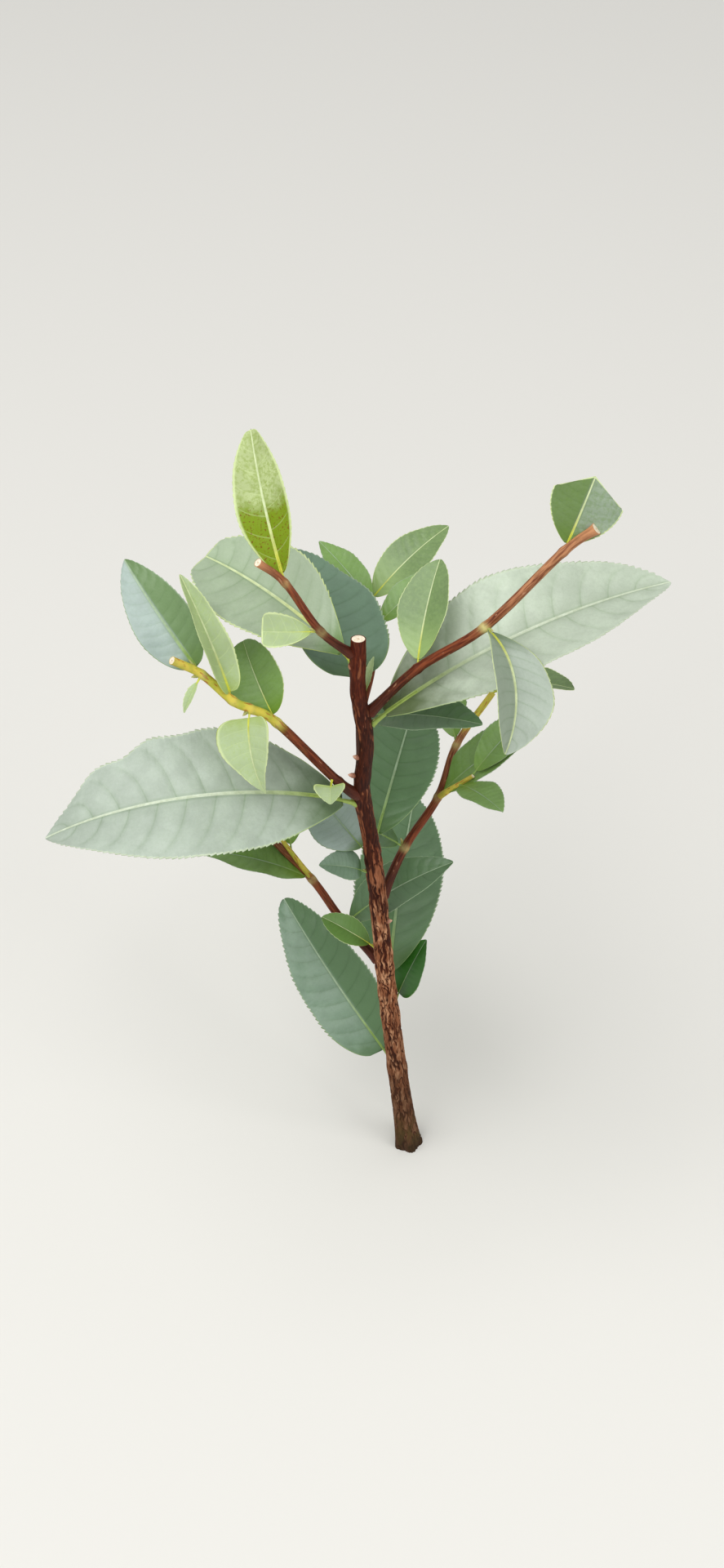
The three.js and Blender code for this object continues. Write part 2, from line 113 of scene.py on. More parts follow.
# Heights on the stem where a change in its bark begins, and where it is full
OLD_RELIEF = (0.24, 0.14)
BARK_CHANGES = {
    "top": (0.25, 0.28), "smooth": (0.15, 0.24), "tan": (0.20, 0.13), "foot": (0.10, 0.02),
    "mossy": (0.03, 0.01), "ground_dark": (0.012, 0.0),
}
# foot is painted shade, the colour the stem's foot takes in the shade of the leaves
BARK_COLOURS = {
    "mean": (110, 66, 46), "crack": (46, 16, 8), "crack_at_top": (68, 22, 10), "smooth": (76, 33, 17),
    "smooth_at_top": (102, 42, 20), "fleck": (160, 100, 74), "flake": (136, 74, 48), "tan": (204, 152, 114),
    "flake_patch": (136, 80, 50), "flake_streak": (104, 60, 36), "foot": (62, 38, 22), "mossy": (86, 72, 40),
    "ground_dark": (46, 34, 24), "scar": (176, 124, 98),
}
CUT_WOOD_COLOURS = {
    "mean": (232, 214, 184), "pore": (222, 202, 172), "wood": (248, 240, 220), "stain": (186, 150, 112),
}
PITH_COLOUR = (204, 176, 140)
# Where an upright rod's end faces stop on its new bake map, and what is left free round each column
END_FACES_BELOW = 0.4999
END_FACE_SCALE = (0.5, 0.08)
COLUMN_FOOT = 0.06
COLUMN_GAP = 0.02


def deselect_all():
    bpy.ops.object.select_all(action="DESELECT")


def path_through(points):
    """A smooth path through points, as a function of the share of the way along it."""
    knots = np.vstack([2 * points[0] - points[1], points, 2 * points[-1] - points[-2]])

    def place(share):
        run = np.clip(np.asarray(share, float), 0, 1) * (len(points) - 1)
        first = np.minimum(run.astype(int), len(points) - 2)
        part = (run - first)[..., None]
        a, b, c, d = (knots[first + step] for step in range(4))
        start, end = (c - a) / 2, (d - b) / 2
        curved = (2 * b - 2 * c + start + end) * part + 3 * c - 3 * b - 2 * start - end
        return (curved * part + start) * part + b

    return place


stem_bends = path_through(np.array(STEM_BENDS))


def stem_axis(height):
    """The middle of the stem at each height."""
    height = np.asarray(height, float)
    return np.concatenate([stem_bends(height / STEM_HEIGHT), height[..., None]], axis=-1)


def stem_radius(height):
    """The stem's radius at each height, before the foot's lobes and the bark's relief."""
    share = np.clip(np.asarray(height, float) / STEM_HEIGHT, 0, 1)
    taper = STEM_RADIUS_FOOT - (STEM_RADIUS_FOOT - STEM_RADIUS_TOP) * share**STEM_TAPER_POWER
    nearest = np.abs(np.subtract.outer(height, list(NODE_HEIGHTS.values()))).min(axis=-1)
    swelling = 1 + NODE_SWELLING * np.exp(-((nearest / NODE_SWELLING_LENGTH) ** 2))
    return taper * swelling + FLARE * np.exp(-height / FLARE_HEIGHT)


def soft_step(value, low, high):
    """Rises smoothly from 0 at low to 1 at high."""
    share = np.clip((value - low) / (high - low), 0, 1)
    return share * share * (3 - 2 * share)


def unit_rod(name, sides, cuts):
    """A rod of length and radius 1 from the origin up, ringed by each of the cuts in turn."""
    deselect_all()
    bpy.ops.mesh.primitive_cylinder_add(vertices=sides, radius=1, depth=1, location=(0, 0, 0.5))
    bpy.ops.object.transform_apply(location=True)
    rod = bpy.context.object
    rod.name = rod.data.name = name
    bpy.ops.object.mode_set(mode="EDIT")
    bpy.ops.mesh.select_mode(type="EDGE")
    for number in cuts:
        shape = bmesh.from_edit_mesh(rod.data)
        for edge in shape.edges:
            low, high = (vertex.co for vertex in edge.verts)
            edge.select_set((high.xy - low.xy).length < UPRIGHT_WITHIN)
        bmesh.update_edit_mesh(rod.data)
        bpy.ops.mesh.subdivide(number_cuts=number)
    bpy.ops.object.mode_set(mode="OBJECT")
    return rod


def cut_the_end(rod, insets):
    """Insets the rod's upper end face, once for each (width, finish slot inside) in turn."""
    bpy.ops.object.mode_set(mode="EDIT")
    bpy.ops.mesh.select_mode(type="FACE")
    bpy.ops.mesh.select_all(action="DESELECT")
    shape = bmesh.from_edit_mesh(rod.data)
    end = max(shape.faces, key=lambda face: face.calc_center_median().z * (len(face.verts) > 4))
    end.select_set(True)
    for width, slot in insets:
        bpy.ops.mesh.inset(thickness=width)
        shape = bmesh.from_edit_mesh(rod.data)
        for face in shape.faces:
            if face.select:
                face.material_index = slot
        bmesh.update_edit_mesh(rod.data)
    bpy.ops.object.mode_set(mode="OBJECT")


def read_places(mesh):
    flat = np.empty(len(mesh.vertices) * 3)
    mesh.vertices.foreach_get("co", flat)
    return flat.reshape(-1, 3)


def write_places(mesh, places):
    mesh.vertices.foreach_set("co", np.asarray(places).ravel())
    mesh.update()


def mark(mesh, name, values):
    """Keeps a number, or a place, for each vertex under a name that a material can read."""
    values = np.asarray(values, float)
    if values.ndim == 1:
        mesh.attributes.new(name, "FLOAT", "POINT").data.foreach_set("value", values)
    else:
        mesh.attributes.new(name, "FLOAT_VECTOR", "POINT").data.foreach_set("vector", values.ravel())


def flaking(turn, height):
    """How pale, and how ridged, the stem's bark is at a turn round it and a height."""
    spot = Vector((math.cos(turn), math.sin(turn), 0)) * STEM_RADIUS_FOOT + Vector((0, 0, height))
    spot += noise.noise_vector(spot * FLAKE_WARP_SCALE) * FLAKE_WARP
    slim = Vector((spot.x, spot.y, spot.z * FLAKE_SLIMNESS)) / FLAKE_WIDTH
    ridge = noise.noise(slim * RIDGE_SCALE)
    within = soft_step(abs(noise.noise(slim) + RIDGE_PULL * ridge), *CRACK)
    level = noise.noise(slim * PATCH_SCALE + Vector(PATCH_SHIFT))
    turned = soft_step(level - np.interp(height, FLAKE_HEIGHTS, FLAKE_LEVELS), -PATCH_EDGE, PATCH_EDGE)
    return float(within * turned), ridge


def scarring(turn, height):
    """How much of a leaf scar lies at each turn round the stem and height."""
    most = np.zeros_like(height)
    for shoot, heading in LEAF_SCARS.items():
        off = (turn - math.radians(heading) + math.pi) % (2 * math.pi) - math.pi
        across = off * stem_radius(height) / SCAR_WIDTH
        up = (height - NODE_HEIGHTS[shoot] + SCAR_DROP) / SCAR_HEIGHT
        most = np.maximum(most, 1 - soft_step(np.hypot(across, up), *SCAR_RIM))
    return most


def unroll_bark(rod, columns):
    """Lays the bake map of a rod's skin out in upright columns, end faces below them."""
    mesh = rod.data
    places = mesh.uv_layers.active
    places.name = "OFBake"
    flat = np.empty(len(mesh.loops) * 2)
    places.data.foreach_get("uv", flat)
    uv = flat.reshape(-1, 2)
    for polygon in mesh.polygons:
        loops = list(polygon.loop_indices)
        if uv[loops, 1].min() < END_FACES_BELOW:
            uv[loops] = uv[loops] * END_FACE_SCALE
            continue
        share = (uv[loops, 1] - 0.5) * 2
        column = min(columns - 1, int(share.mean() * columns))
        uv[loops, 0] = (column + COLUMN_GAP + (1 - 2 * COLUMN_GAP) * uv[loops, 0]) / columns
        uv[loops, 1] = COLUMN_FOOT + (1 - COLUMN_FOOT) * np.clip(share * columns - column, 0, 1)
    places.data.foreach_set("uv", uv.ravel())


def linear(red, green, blue):
    """A colour as light, from the 0 to 255 that a screen shows."""
    shares = [part / 255 for part in (red, green, blue)]
    return (*(s / 12.92 if s <= 0.04045 else ((s + 0.055) / 1.055) ** 2.4 for s in shares), 1)


def new_finish(name, colour, roughness, **sockets):
    """A material with one shader, whose constant values are set on its own sockets."""
    finish = bpy.data.materials.new(name)
    finish.use_nodes = True
    finish.diffuse_color = colour
    shader = finish.node_tree.nodes["Principled BSDF"]
    shader.inputs["Base Color"].default_value = colour
    shader.inputs["Roughness"].default_value = roughness
    for socket, value in sockets.items():
        shader.inputs[socket.replace("_", " ")].default_value = value
    return finish, finish.node_tree, shader


def add_node(tree, kind, settings=None, **inputs):
    """A node of a kind, with its settings, and each input set to a value or fed by an output."""
    made = tree.nodes.new("ShaderNode" + kind)
    for name, value in (settings or {}).items():
        setattr(made, name, value)
    for name, value in inputs.items():
        feed(tree, made.inputs[name.replace("_", " ")], value)
    return made


def feed(tree, socket, value):
    if isinstance(value, bpy.types.NodeSocket):
        tree.links.new(value, socket)
    else:
        socket.default_value = value


def object_place(tree):
    """The place of each point in metres."""
    return add_node(tree, "TexCoord").outputs["Object"]


def marked(tree, name, output="Fac"):
    """What mark has kept on a mesh under a name."""
    return add_node(tree, "Attribute", {"attribute_name": name}).outputs[output]


def work_out(tree, operation, *values):
    """The result of a sum on numbers or outputs."""
    made = add_node(tree, "Math", {"operation": operation})
    for socket, value in zip(made.inputs, values):
        feed(tree, socket, value)
    return made.outputs[0]


def times(tree, first, second):
    return work_out(tree, "MULTIPLY", first, second)


def between(tree, value, low, high, first=0.0, last=1.0):
    """A value's share of the way from low to high, smoothed, as a number from first to last."""
    ranged = add_node(tree, "MapRange", {"interpolation_type": "SMOOTHSTEP"}, Value=value)
    for socket, number in zip(("From Min", "From Max", "To Min", "To Max"), (low, high, first, last)):
        ranged.inputs[socket].default_value = number
    return ranged.outputs[0]


def blended(tree, share, first, second, way="MIX"):
    """Two colours blended by a share."""
    made = add_node(tree, "Mix", {"data_type": "RGBA", "blend_type": way})
    feed(tree, made.inputs[0], share)
    feed(tree, made.inputs[6], first)
    feed(tree, made.inputs[7], second)
    return made.outputs[2]


def grained_noise(tree, place, scale, detail=3.0, roughness=0.55):
    """Cloudy noise at a scale on a place, as a number round one half."""
    made = add_node(tree, "TexNoise", Vector=place, Scale=scale, Detail=detail, Roughness=roughness)
    return made.outputs[0]


def stretched(tree, place, x, y, z):
    """A place with each direction scaled, to draw a pattern out along one."""
    return add_node(tree, "Mapping", Vector=place, Scale=(x, y, z)).outputs[0]


def roughen(tree, shader, height, distance, strength=1.0):
    """Feeds a height to the shader as fine relief."""
    bump = add_node(tree, "Bump", Height=height, Distance=distance, Strength=strength)
    tree.links.new(bump.outputs[0], shader.inputs["Normal"])


def stem_bark_finish():
    colours = {name: linear(*colour) for name, colour in BARK_COLOURS.items()}
    finish, tree, shader = new_finish("stem_bark", colours["mean"], 0.8, Specular_IOR_Level=0.12)
    place = object_place(tree)
    height = add_node(tree, "SeparateXYZ", Vector=place).outputs[2]
    flake = marked(tree, "flake")
    scar = marked(tree, "scar")
    streaks = grained_noise(tree, stretched(tree, place, 1, 1, 0.14), 1500, 4)
    lenses = grained_noise(tree, stretched(tree, place, 1, 1, 0.3), 700, 1)
    patches = grained_noise(tree, stretched(tree, place, 1, 1, 0.3), 420, 3)
    top = between(tree, height, *BARK_CHANGES["top"])
    dark = blended(tree, top, colours["crack"], colours["crack_at_top"])
    light = blended(tree, top, colours["smooth"], colours["smooth_at_top"])
    dark = blended(tree, between(tree, streaks, 0.38, 0.66), dark, light)
    dark = blended(tree, between(tree, lenses, 0.68, 0.74, 0, 0.6), dark, colours["fleck"])
    pale = blended(tree, between(tree, height, *BARK_CHANGES["tan"]), colours["flake"], colours["tan"])
    pale = blended(tree, between(tree, patches, 0.36, 0.56, 0, 0.9), pale, colours["flake_patch"])
    pale = blended(tree, between(tree, streaks, 0.56, 0.38, 0, 0.6), pale, colours["flake_streak"])
    skin = blended(tree, flake, dark, pale)
    # Painted shade on the stem's foot, deepening towards the ground, where the leaves shade it
    skin = blended(tree, between(tree, height, *BARK_CHANGES["foot"], 0, 0.75), skin, colours["foot"])
    mossy = times(tree, between(tree, height, *BARK_CHANGES["mossy"]), between(tree, patches, 0.4, 0.6))
    skin = blended(tree, times(tree, mossy, 0.6), skin, colours["mossy"])
    # Darker still in the last centimetre above the ground
    skin = blended(tree, between(tree, height, *BARK_CHANGES["ground_dark"], 0, 0.7), skin, colours["ground_dark"])
    skin = blended(tree, scar, skin, colours["scar"])
    tree.links.new(skin, shader.inputs["Base Color"])
    tree.links.new(between(tree, height, *BARK_CHANGES["smooth"], 0.85, 0.6), shader.inputs["Roughness"])
    roughen(tree, shader, streaks, 0.0002, 0.7)
    return finish


def cut_wood_finish():
    colours = {name: linear(*colour) for name, colour in CUT_WOOD_COLOURS.items()}
    finish, tree, shader = new_finish("cut_wood", colours["mean"], 0.7)
    place = object_place(tree)
    pores = grained_noise(tree, place, 3200, 2)
    stain = grained_noise(tree, place, 900, 2)
    wood = blended(tree, between(tree, pores, 0.35, 0.65), colours["pore"], colours["wood"])
    wood = blended(tree, between(tree, stain, 0.5, 0.7, 0, 0.4), wood, colours["stain"])
    tree.links.new(wood, shader.inputs["Base Color"])
    roughen(tree, shader, pores, 0.0001, 0.6)
    return finish


def pith_finish():
    finish, tree, shader = new_finish("pith", linear(*PITH_COLOUR), 0.9)
    roughen(tree, shader, grained_noise(tree, object_place(tree), 3000), 0.0001, 0.8)
    return finish


# Vector noise takes the time of day as its seed unless it is given one
noise.seed_set(FLAKE_WARP_SEED)
stem = unit_rod("stem_trunk", STEM_SIDES, STEM_CUTS)
for finish in (stem_bark_finish(), cut_wood_finish(), pith_finish()):
    stem.data.materials.append(finish)
cut_the_end(stem, TOP_INSETS)
unroll_bark(stem, columns=4)
unit = read_places(stem.data)
height = unit[:, 2] * STEM_HEIGHT
turn = np.arctan2(unit[:, 1], unit[:, 0])
reach = np.hypot(unit[:, 0], unit[:, 1])
lobes = FLARE_LOBE_DEPTH * np.cos(FLARE_LOBES * turn) * np.exp(-height / FLARE_HEIGHT)
flake, ridges = np.array([flaking(*pair) for pair in zip(turn, height)]).T
scar = scarring(turn, height)
old_bark = soft_step(height, *OLD_RELIEF)
lift = FLAKE_LIFT * flake * (YOUNG_FLAKE_LIFT + (1 - YOUNG_FLAKE_LIFT) * old_bark)
relief = lift * (1 - scar) + RIDGE_LIFT * ridges + SCAR_LIFT * scar
radius = reach * (stem_radius(height) * (1 + lobes) + relief - FLAKE_SEAT * FLAKE_LIFT * old_bark)
near_top = soft_step(height, STEM_HEIGHT - TOP_CUT_REACH, STEM_HEIGHT)
offset = np.stack([np.cos(turn) * radius, np.sin(turn) * radius, np.zeros_like(radius)], axis=-1)
offset[:, 2] = -math.tan(TOP_CUT_SLOPE) * offset[:, 1] * near_top
write_places(stem.data, stem_axis(height) + offset)
mark(stem.data, "flake", flake * (1 - scar))
mark(stem.data, "scar", scar)
bpy.ops.object.shade_smooth_by_angle(angle=SMOOTH_BELOW)
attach(stem, "root")
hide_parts("main_stem")

# The side shoots' limbs
# Slim woody shoots that rose from the axils of fallen leaves once the top was cut off,
# each one tapering limb with smooth red-brown bark, grown on to the stem by a collar.
# Three of them show from the front, and three behind grow by the seeded rule alone.
SEED = 4127
DRAW_STEP = 16807
DRAW_RANGE = 2147483647
GROWTH = {
    "swing": (5, 11), "internode": 0.021, "internode_share": (0.9, 1.15), "rise_more": (0, 6),
    "leaf_turn": 144, "leaf_turn_more": (0, 24), "forward_pull": 0.8,
    "leaf_length": 0.047, "leaf_length_loss": 0.1, "leaf_length_share": (0.9, 1.1), "leaf_ratio": 0.44,
    "leaf_roll": (-10, 10), "leaf_fold": (10, 20), "leaf_arch": (16, 36), "leaf_rise": (14, 36),
    "twig_node": 2, "twig_length": 0.020, "twig_length_share": (0.8, 1.2), "twig_turn": -30,
    "twig_rise": 48, "twig_radius": 0.0011, "twig_taper": 0.0003, "twig_leaf_share": (0.55, 0.7),
    "twig_leaf_places": {-1: 0.6, 1: 0.94}, "twig_leaf_angle": 52, "twig_leaf_rise": 26,
    "radius": 0.0018, "tip_radius": 0.0012, "limb_share": 0.82, "green_from": 0.070,
}
RULE_SHOOTS = [
    {"name": "back_right", "heading": 54, "rise": 34, "nodes": 4, "spiral": 1},
    {"name": "back_left", "heading": 142, "rise": 34, "nodes": 4, "spiral": -1},
    {"name": "back_top", "heading": 84, "rise": 17, "nodes": 3, "spiral": -1},
]
SHOOT_SIDES = 40
RING_STEP = 0.0004
CUTS_MOST = 100
FINE_CUTS = 3
PATH_STEPS = 400
LOOK_AHEAD = 0.01
SPEED_REACH = 0.005
LIMB_COLLAR = 0.38
LIMB_COLLAR_LENGTH = 0.0036
JOINT_SWELLING = 0.16
JOINT_SWELLING_LENGTH = 0.0013
JOINT_COLOUR_LENGTH = 0.0015
JOINT_RINGS = 0.5
SNAG_LENGTH = 0.0024
TIP_COLOUR_LENGTH = 0.006
SHOOT_RIDGE_LIFT = 0.00004
SHOOT_RIDGE_SCALES = (1400, 1400, 160)
GREEN_FADE = 0.006
SUNK_IN_STEM = 0.0008
# Darkest and palest brown in a shoot's streaks, and where along it the next brown begins and is full
SHOOT_BROWNS = {
    "old": ((54, 24, 15), (88, 44, 29)),
    "grown": ((84, 32, 16), (138, 70, 40)),
    "young": ((104, 52, 30), (190, 134, 94)),
}
GROWN_FROM = (0.008, 0.034)
YOUNG_FROM = (0.038, 0.085)
SHOOT_COLOURS = {
    "mean": (128, 72, 44), "patch": (104, 74, 40), "fleck": (196, 146, 112), "fresh": (214, 196, 78),
    "fresh_patch": (184, 184, 68), "fresh_fleck": (176, 108, 50), "ring": (208, 200, 132),
    "foot": (84, 34, 20), "tip": (206, 146, 104),
}


def leaf(heading, rise, length, width, **shape):
    """One leaf: the joint it stands at, where its blade points, its size, how it is turned, folded
    and arched, its outline and its tone. cut is the share of its length that a cut has left, and
    shorn how slanting the cut is. Its pair of half shadings gives the painted light on its left and
    right half, or painted shade below 0. rib and bud say how broad its midrib and how long the bud
    in its axil are beside the others, and lines whose colours its midrib and margin have. nicks says
    where the margin falls back or, at a depth below 0, stands out, as (hand, share, depth, width)."""
    usual = {
        "node": 0, "roll": 0, "fold": 12, "arch": 20, "widest": 0.9, "foot": 0.85, "point": 0.8,
        "cut": 1, "shorn": 0, "nicks": (), "tone": "green", "halves": (0, 0), "lines": None,
        "rib": 1, "bud": 1,
    }
    return {**usual, "heading": heading, "rise": rise, "length": length, "width": width, **shape}


SHOWN_SHOOTS = [
    {
        "name": "right", "radius": 0.00165, "tip_radius": 0.00145, "limb_share": 0.86, "green_from": 1,
        "rings": (0, 1, 0), "snag": 0.45,
        "internodes": [(0.0262, 18, 43), (0.0286, 2, 40), (0.036, 21, 42.5), (0.0135, 5, 42)],
        "leaves": [
            leaf(75, 34, 0.035, 0.0195, node=1, roll=23, fold=17, arch=21, widest=0.98, foot=0.77, point=0.66,
                 tone="olive", rib=1.3),
            leaf(-84, -26, 0.042, 0.031, node=2, roll=45, fold=15, arch=76, widest=1.05, foot=0.73,
                 tone="sage", halves=(0.3, -0.5), rib=2.6, lines="young"),
            leaf(53, 54, 0.032, 0.024, node=3, roll=-34, fold=14, arch=18, widest=0.99, cut=0.73, shorn=0.26,
                 tone="mist", halves=(-0.7, 0.7), rib=1.6),
        ],
    },
    {
        "name": "lower_left", "radius": 0.0017, "tip_radius": 0.0014, "limb_share": 0.9, "green_from": 0.043,
        "rings": (0, 0.4, 0.4, 0.3, 0.5),
        "internodes": [
            (0.0135, 196, 50), (0.0345, 175, 53), (0.012, 188, 42),
            (0.0075, 191, 41), (0.0147, 172, 48), (0.0132, 198, 44),
        ],
        "leaves": [
            leaf(117, 35, 0.027, 0.020, node=2, roll=34, fold=17, arch=34, foot=0.72, point=0.5,
                 tone="green", halves=(0.3, 0.1), lines="young"),
            leaf(-72, -48, 0.026, 0.025, node=3, roll=-55, fold=15, arch=45, widest=0.51, foot=0.62,
                 point=1.1, tone="fresh", halves=(0.5, 0.5), rib=2.2),
            leaf(129, 55, 0.043, 0.0135, node=4, roll=4, fold=44, widest=0.68, foot=0.62, point=0.64,
                 tone="fresh", halves=(-0.3, 0.2), rib=1.7),
            leaf(130, 30, 0.043, 0.020, node=5, roll=34, fold=11, arch=38, widest=0.77, foot=0.76, point=0.75,
                 tone="blue", halves=(0.1, -0.8), rib=1.7, bud=2),
            leaf(-118, -34, 0.011, 0.004, node=5, fold=40, tone="fresh"),
        ],
        "limb_leaf": leaf(-91, -29, 0.0065, 0.0115, roll=-13, fold=21, arch=40, widest=0.42, foot=0.45,
                          tone="fresh", name="leaf_shoot_foot", share=0.188),
    },
    {
        "name": "upper_left", "radius": 0.0014, "tip_radius": 0.0012, "limb_share": 0.82, "green_from": 1,
        "rings": (0.5, 0.3), "snag": 0.2,
        "internodes": [(0.0192, 193, 50), (0.020, 151, 50), (0.014, 198, 52)],
        "leaves": [
            leaf(-178, 4, 0.0275, 0.0125, node=1, roll=33, fold=25, arch=-30, cut=0.58, tone="fresh",
                 rib=0.4),
            leaf(106, 40, 0.0485, 0.0187, node=2, roll=26, fold=22, arch=30, point=0.76, cut=0.97,
                 tone="lime", rib=1.5),
        ],
    },
]


def direction(heading, rise):
    """The unit vector of a heading and a rise."""
    heading, rise = math.radians(heading), math.radians(rise)
    return np.array([
        math.cos(rise) * math.cos(heading), math.cos(rise) * math.sin(heading), math.sin(rise),
    ])


def unit_vector(vector):
    return vector / np.linalg.norm(vector, axis=-1, keepdims=True)


def seeded_draws(seed):
    """Draws between 0 and 1 that are the same on every run."""
    state = seed
    while True:
        state = state * DRAW_STEP % DRAW_RANGE
        yield state / DRAW_RANGE


draw = seeded_draws(SEED).__next__


def drawn(name):
    """One draw between the least and the greatest of a part of the rule."""
    least, greatest = GROWTH[name]
    return least + (greatest - least) * draw()


def grown_shoot(rule):
    """A hidden shoot: its internodes swing to and fro and its leaves stand in a spiral."""
    shoot = {**GROWTH, **rule, "internodes": [], "leaves": [], "twigs": []}
    for node in range(1, rule["nodes"] + 1):
        swing = (1 if node % 2 else -1) * drawn("swing")
        internode = GROWTH["internode"] * drawn("internode_share")
        shoot["internodes"].append((internode, rule["heading"] + swing, rule["rise"] + drawn("rise_more")))
        turned = rule["heading"] + rule["spiral"] * (GROWTH["leaf_turn"] * node + drawn("leaf_turn_more"))
        out = direction(turned, 0) + GROWTH["forward_pull"] * direction(rule["heading"], 0)
        heading = math.degrees(math.atan2(out[1], out[0]))
        age = 1 - GROWTH["leaf_length_loss"] * (node - 1)
        length = GROWTH["leaf_length"] * age * drawn("leaf_length_share")
        shape = {"roll": drawn("leaf_roll"), "fold": drawn("leaf_fold"), "arch": drawn("leaf_arch")}
        rise = drawn("leaf_rise")
        tone = "shaded" if node < 2 else "green" if node < rule["nodes"] else "olive"
        width = length * GROWTH["leaf_ratio"]
        shoot["leaves"].append(leaf(heading, rise, length, width, node=node, tone=tone, **shape))
        if node == GROWTH["twig_node"]:
            twig_length = GROWTH["twig_length"] * drawn("twig_length_share")
            leaf_length = GROWTH["leaf_length"] * drawn("twig_leaf_share")
            turn = heading + GROWTH["twig_turn"]
            twig = {"node": node, "length": twig_length, "heading": turn, "leaf_length": leaf_length}
            shoot["twigs"].append(twig)
    return shoot


def lay_out(shoot):
    """Works out a shoot's joints, its path, and where its limb starts and ends on the path."""
    points = [stem_axis(NODE_HEIGHTS[shoot["name"]])]
    for length, heading, rise in shoot["internodes"]:
        points.append(points[-1] + direction(heading, rise) * length)
    place = path_through(np.array(points))
    limb_end = shoot["limb_share"] * shoot["leaves"][0]["node"] / len(shoot["internodes"])
    ahead = place(limb_end + SPEED_REACH) - place(limb_end - SPEED_REACH)
    speed = np.linalg.norm(ahead) / (2 * SPEED_REACH)
    level = math.cos(math.radians(shoot["internodes"][0][2]))
    bark = stem_radius(points[0][2]) / level
    return {
        **shoot, "points": points, "place": place, "limb_end": limb_end,
        "limb_start": (bark - SUNK_IN_STEM) / speed, "bark": bark,
    }


def distance_along(place, share):
    """How far along a path each share of it lies."""
    fine = np.linspace(0, 1, PATH_STEPS)
    steps = np.linalg.norm(np.diff(place(fine), axis=0), axis=1)
    return np.interp(share, fine, np.concatenate([[0], np.cumsum(steps)]))


def bark_rod(name, shoot, start, end, insets, finishes):
    """A stretch of a shoot from one share of its path to another, as a rod with its bark."""
    place = shoot["place"]
    first, last = distance_along(place, np.array([start, end]))
    rings = round((last - first) / RING_STEP / (FINE_CUTS + 1))
    rod = unit_rod(name, SHOOT_SIDES, (min(CUTS_MOST, rings), FINE_CUTS))
    for finish in finishes:
        rod.data.materials.append(finish)
    cut_the_end(rod, insets)
    unroll_bark(rod, columns=2)
    unit = read_places(rod.data)
    share = start + (end - start) * unit[:, 2]
    run = distance_along(place, share)
    ahead = unit_vector(place(np.minimum(share + LOOK_AHEAD, 1)) - place(share - LOOK_AHEAD))
    side = unit_vector(np.cross((0, 0, 1), ahead))
    up = np.cross(ahead, side)
    joints = distance_along(place, np.arange(1, len(shoot["points"]) - 1) / (len(shoot["points"]) - 1))
    off = np.abs(np.subtract.outer(run, joints))
    near = off.min(axis=1, initial=1)
    to_tip = distance_along(place, 1.0) - run
    snag = shoot.get("snag", 0) * np.exp(-to_tip / SNAG_LENGTH)
    swelling = 1 + JOINT_SWELLING * np.exp(-((near / JOINT_SWELLING_LENGTH) ** 2)) + snag
    collar = LIMB_COLLAR * np.exp(-np.maximum(0, run - shoot["bark"]) / LIMB_COLLAR_LENGTH)
    radius = (shoot["radius"] + (shoot["tip_radius"] - shoot["radius"]) * share) * (swelling + collar)
    grain = np.stack([unit[:, 0] * shoot["radius"], unit[:, 1] * shoot["radius"], run], axis=-1)
    ridges = np.array([noise.noise(Vector(spot)) for spot in grain * SHOOT_RIDGE_SCALES])
    offset = unit[:, :2] * (radius + SHOOT_RIDGE_LIFT * ridges)[:, None]
    write_places(rod.data, place(share) + side * offset[:, :1] + up * offset[:, 1:])
    mark(rod.data, "grain", grain)
    mark(rod.data, "green", soft_step(run, shoot["green_from"], shoot["green_from"] + GREEN_FADE))
    ringed = np.exp(-((off / JOINT_COLOUR_LENGTH) ** 2)) * shoot.get("rings", JOINT_RINGS)
    mark(rod.data, "joint", ringed.max(axis=1, initial=0))
    mark(rod.data, "tip", np.exp(-to_tip / TIP_COLOUR_LENGTH))
    mark(rod.data, "foot", np.exp(-np.maximum(0, run - shoot["bark"]) / LIMB_COLLAR_LENGTH))
    bpy.ops.object.shade_smooth_by_angle(angle=SMOOTH_BELOW)
    return rod


def shoot_bark_finish():
    colours = {name: linear(*colour) for name, colour in SHOOT_COLOURS.items()}
    finish, tree, shader = new_finish("shoot_bark", colours["mean"], 0.5, Specular_IOR_Level=0.16)
    grain = marked(tree, "grain", "Vector")
    green, joint, foot, tip = (marked(tree, name) for name in ("green", "joint", "foot", "tip"))
    run = add_node(tree, "SeparateXYZ", Vector=grain).outputs[2]
    streaks = grained_noise(tree, stretched(tree, grain, 1, 1, 0.1), 1600, 4)
    flecks = grained_noise(tree, stretched(tree, grain, 1, 1, 0.3), 1000, 1)
    patches = grained_noise(tree, grain, 260, 2)
    streaked = between(tree, streaks, 0.32, 0.68)
    old, grown, young = (
        blended(tree, streaked, linear(*dark), linear(*light)) for dark, light in SHOOT_BROWNS.values()
    )
    brown = blended(tree, between(tree, run, *GROWN_FROM), old, grown)
    brown = blended(tree, between(tree, run, *YOUNG_FROM), brown, young)
    brown = blended(tree, between(tree, patches, 0.5, 0.72, 0, 0.3), brown, colours["patch"])
    brown = blended(tree, between(tree, flecks, 0.69, 0.74, 0, 0.5), brown, colours["fleck"])
    fresh = blended(tree, between(tree, patches, 0.35, 0.65), colours["fresh"], colours["fresh_patch"])
    fresh = blended(tree, between(tree, flecks, 0.57, 0.66, 0, 0.85), fresh, colours["fresh_fleck"])
    skin = blended(tree, green, brown, fresh)
    ring = times(tree, joint, between(tree, patches, 0.3, 0.6, 0.3, 0.9))
    skin = blended(tree, ring, skin, colours["ring"])
    skin = blended(tree, times(tree, foot, 0.7), skin, colours["foot"])
    browned = times(tree, tip, between(tree, green, 0.0, 1.0, 0.8, 0.2))
    skin = blended(tree, browned, skin, colours["tip"])
    tree.links.new(skin, shader.inputs["Base Color"])
    roughen(tree, shader, streaks, 0.00008, 0.5)
    return finish


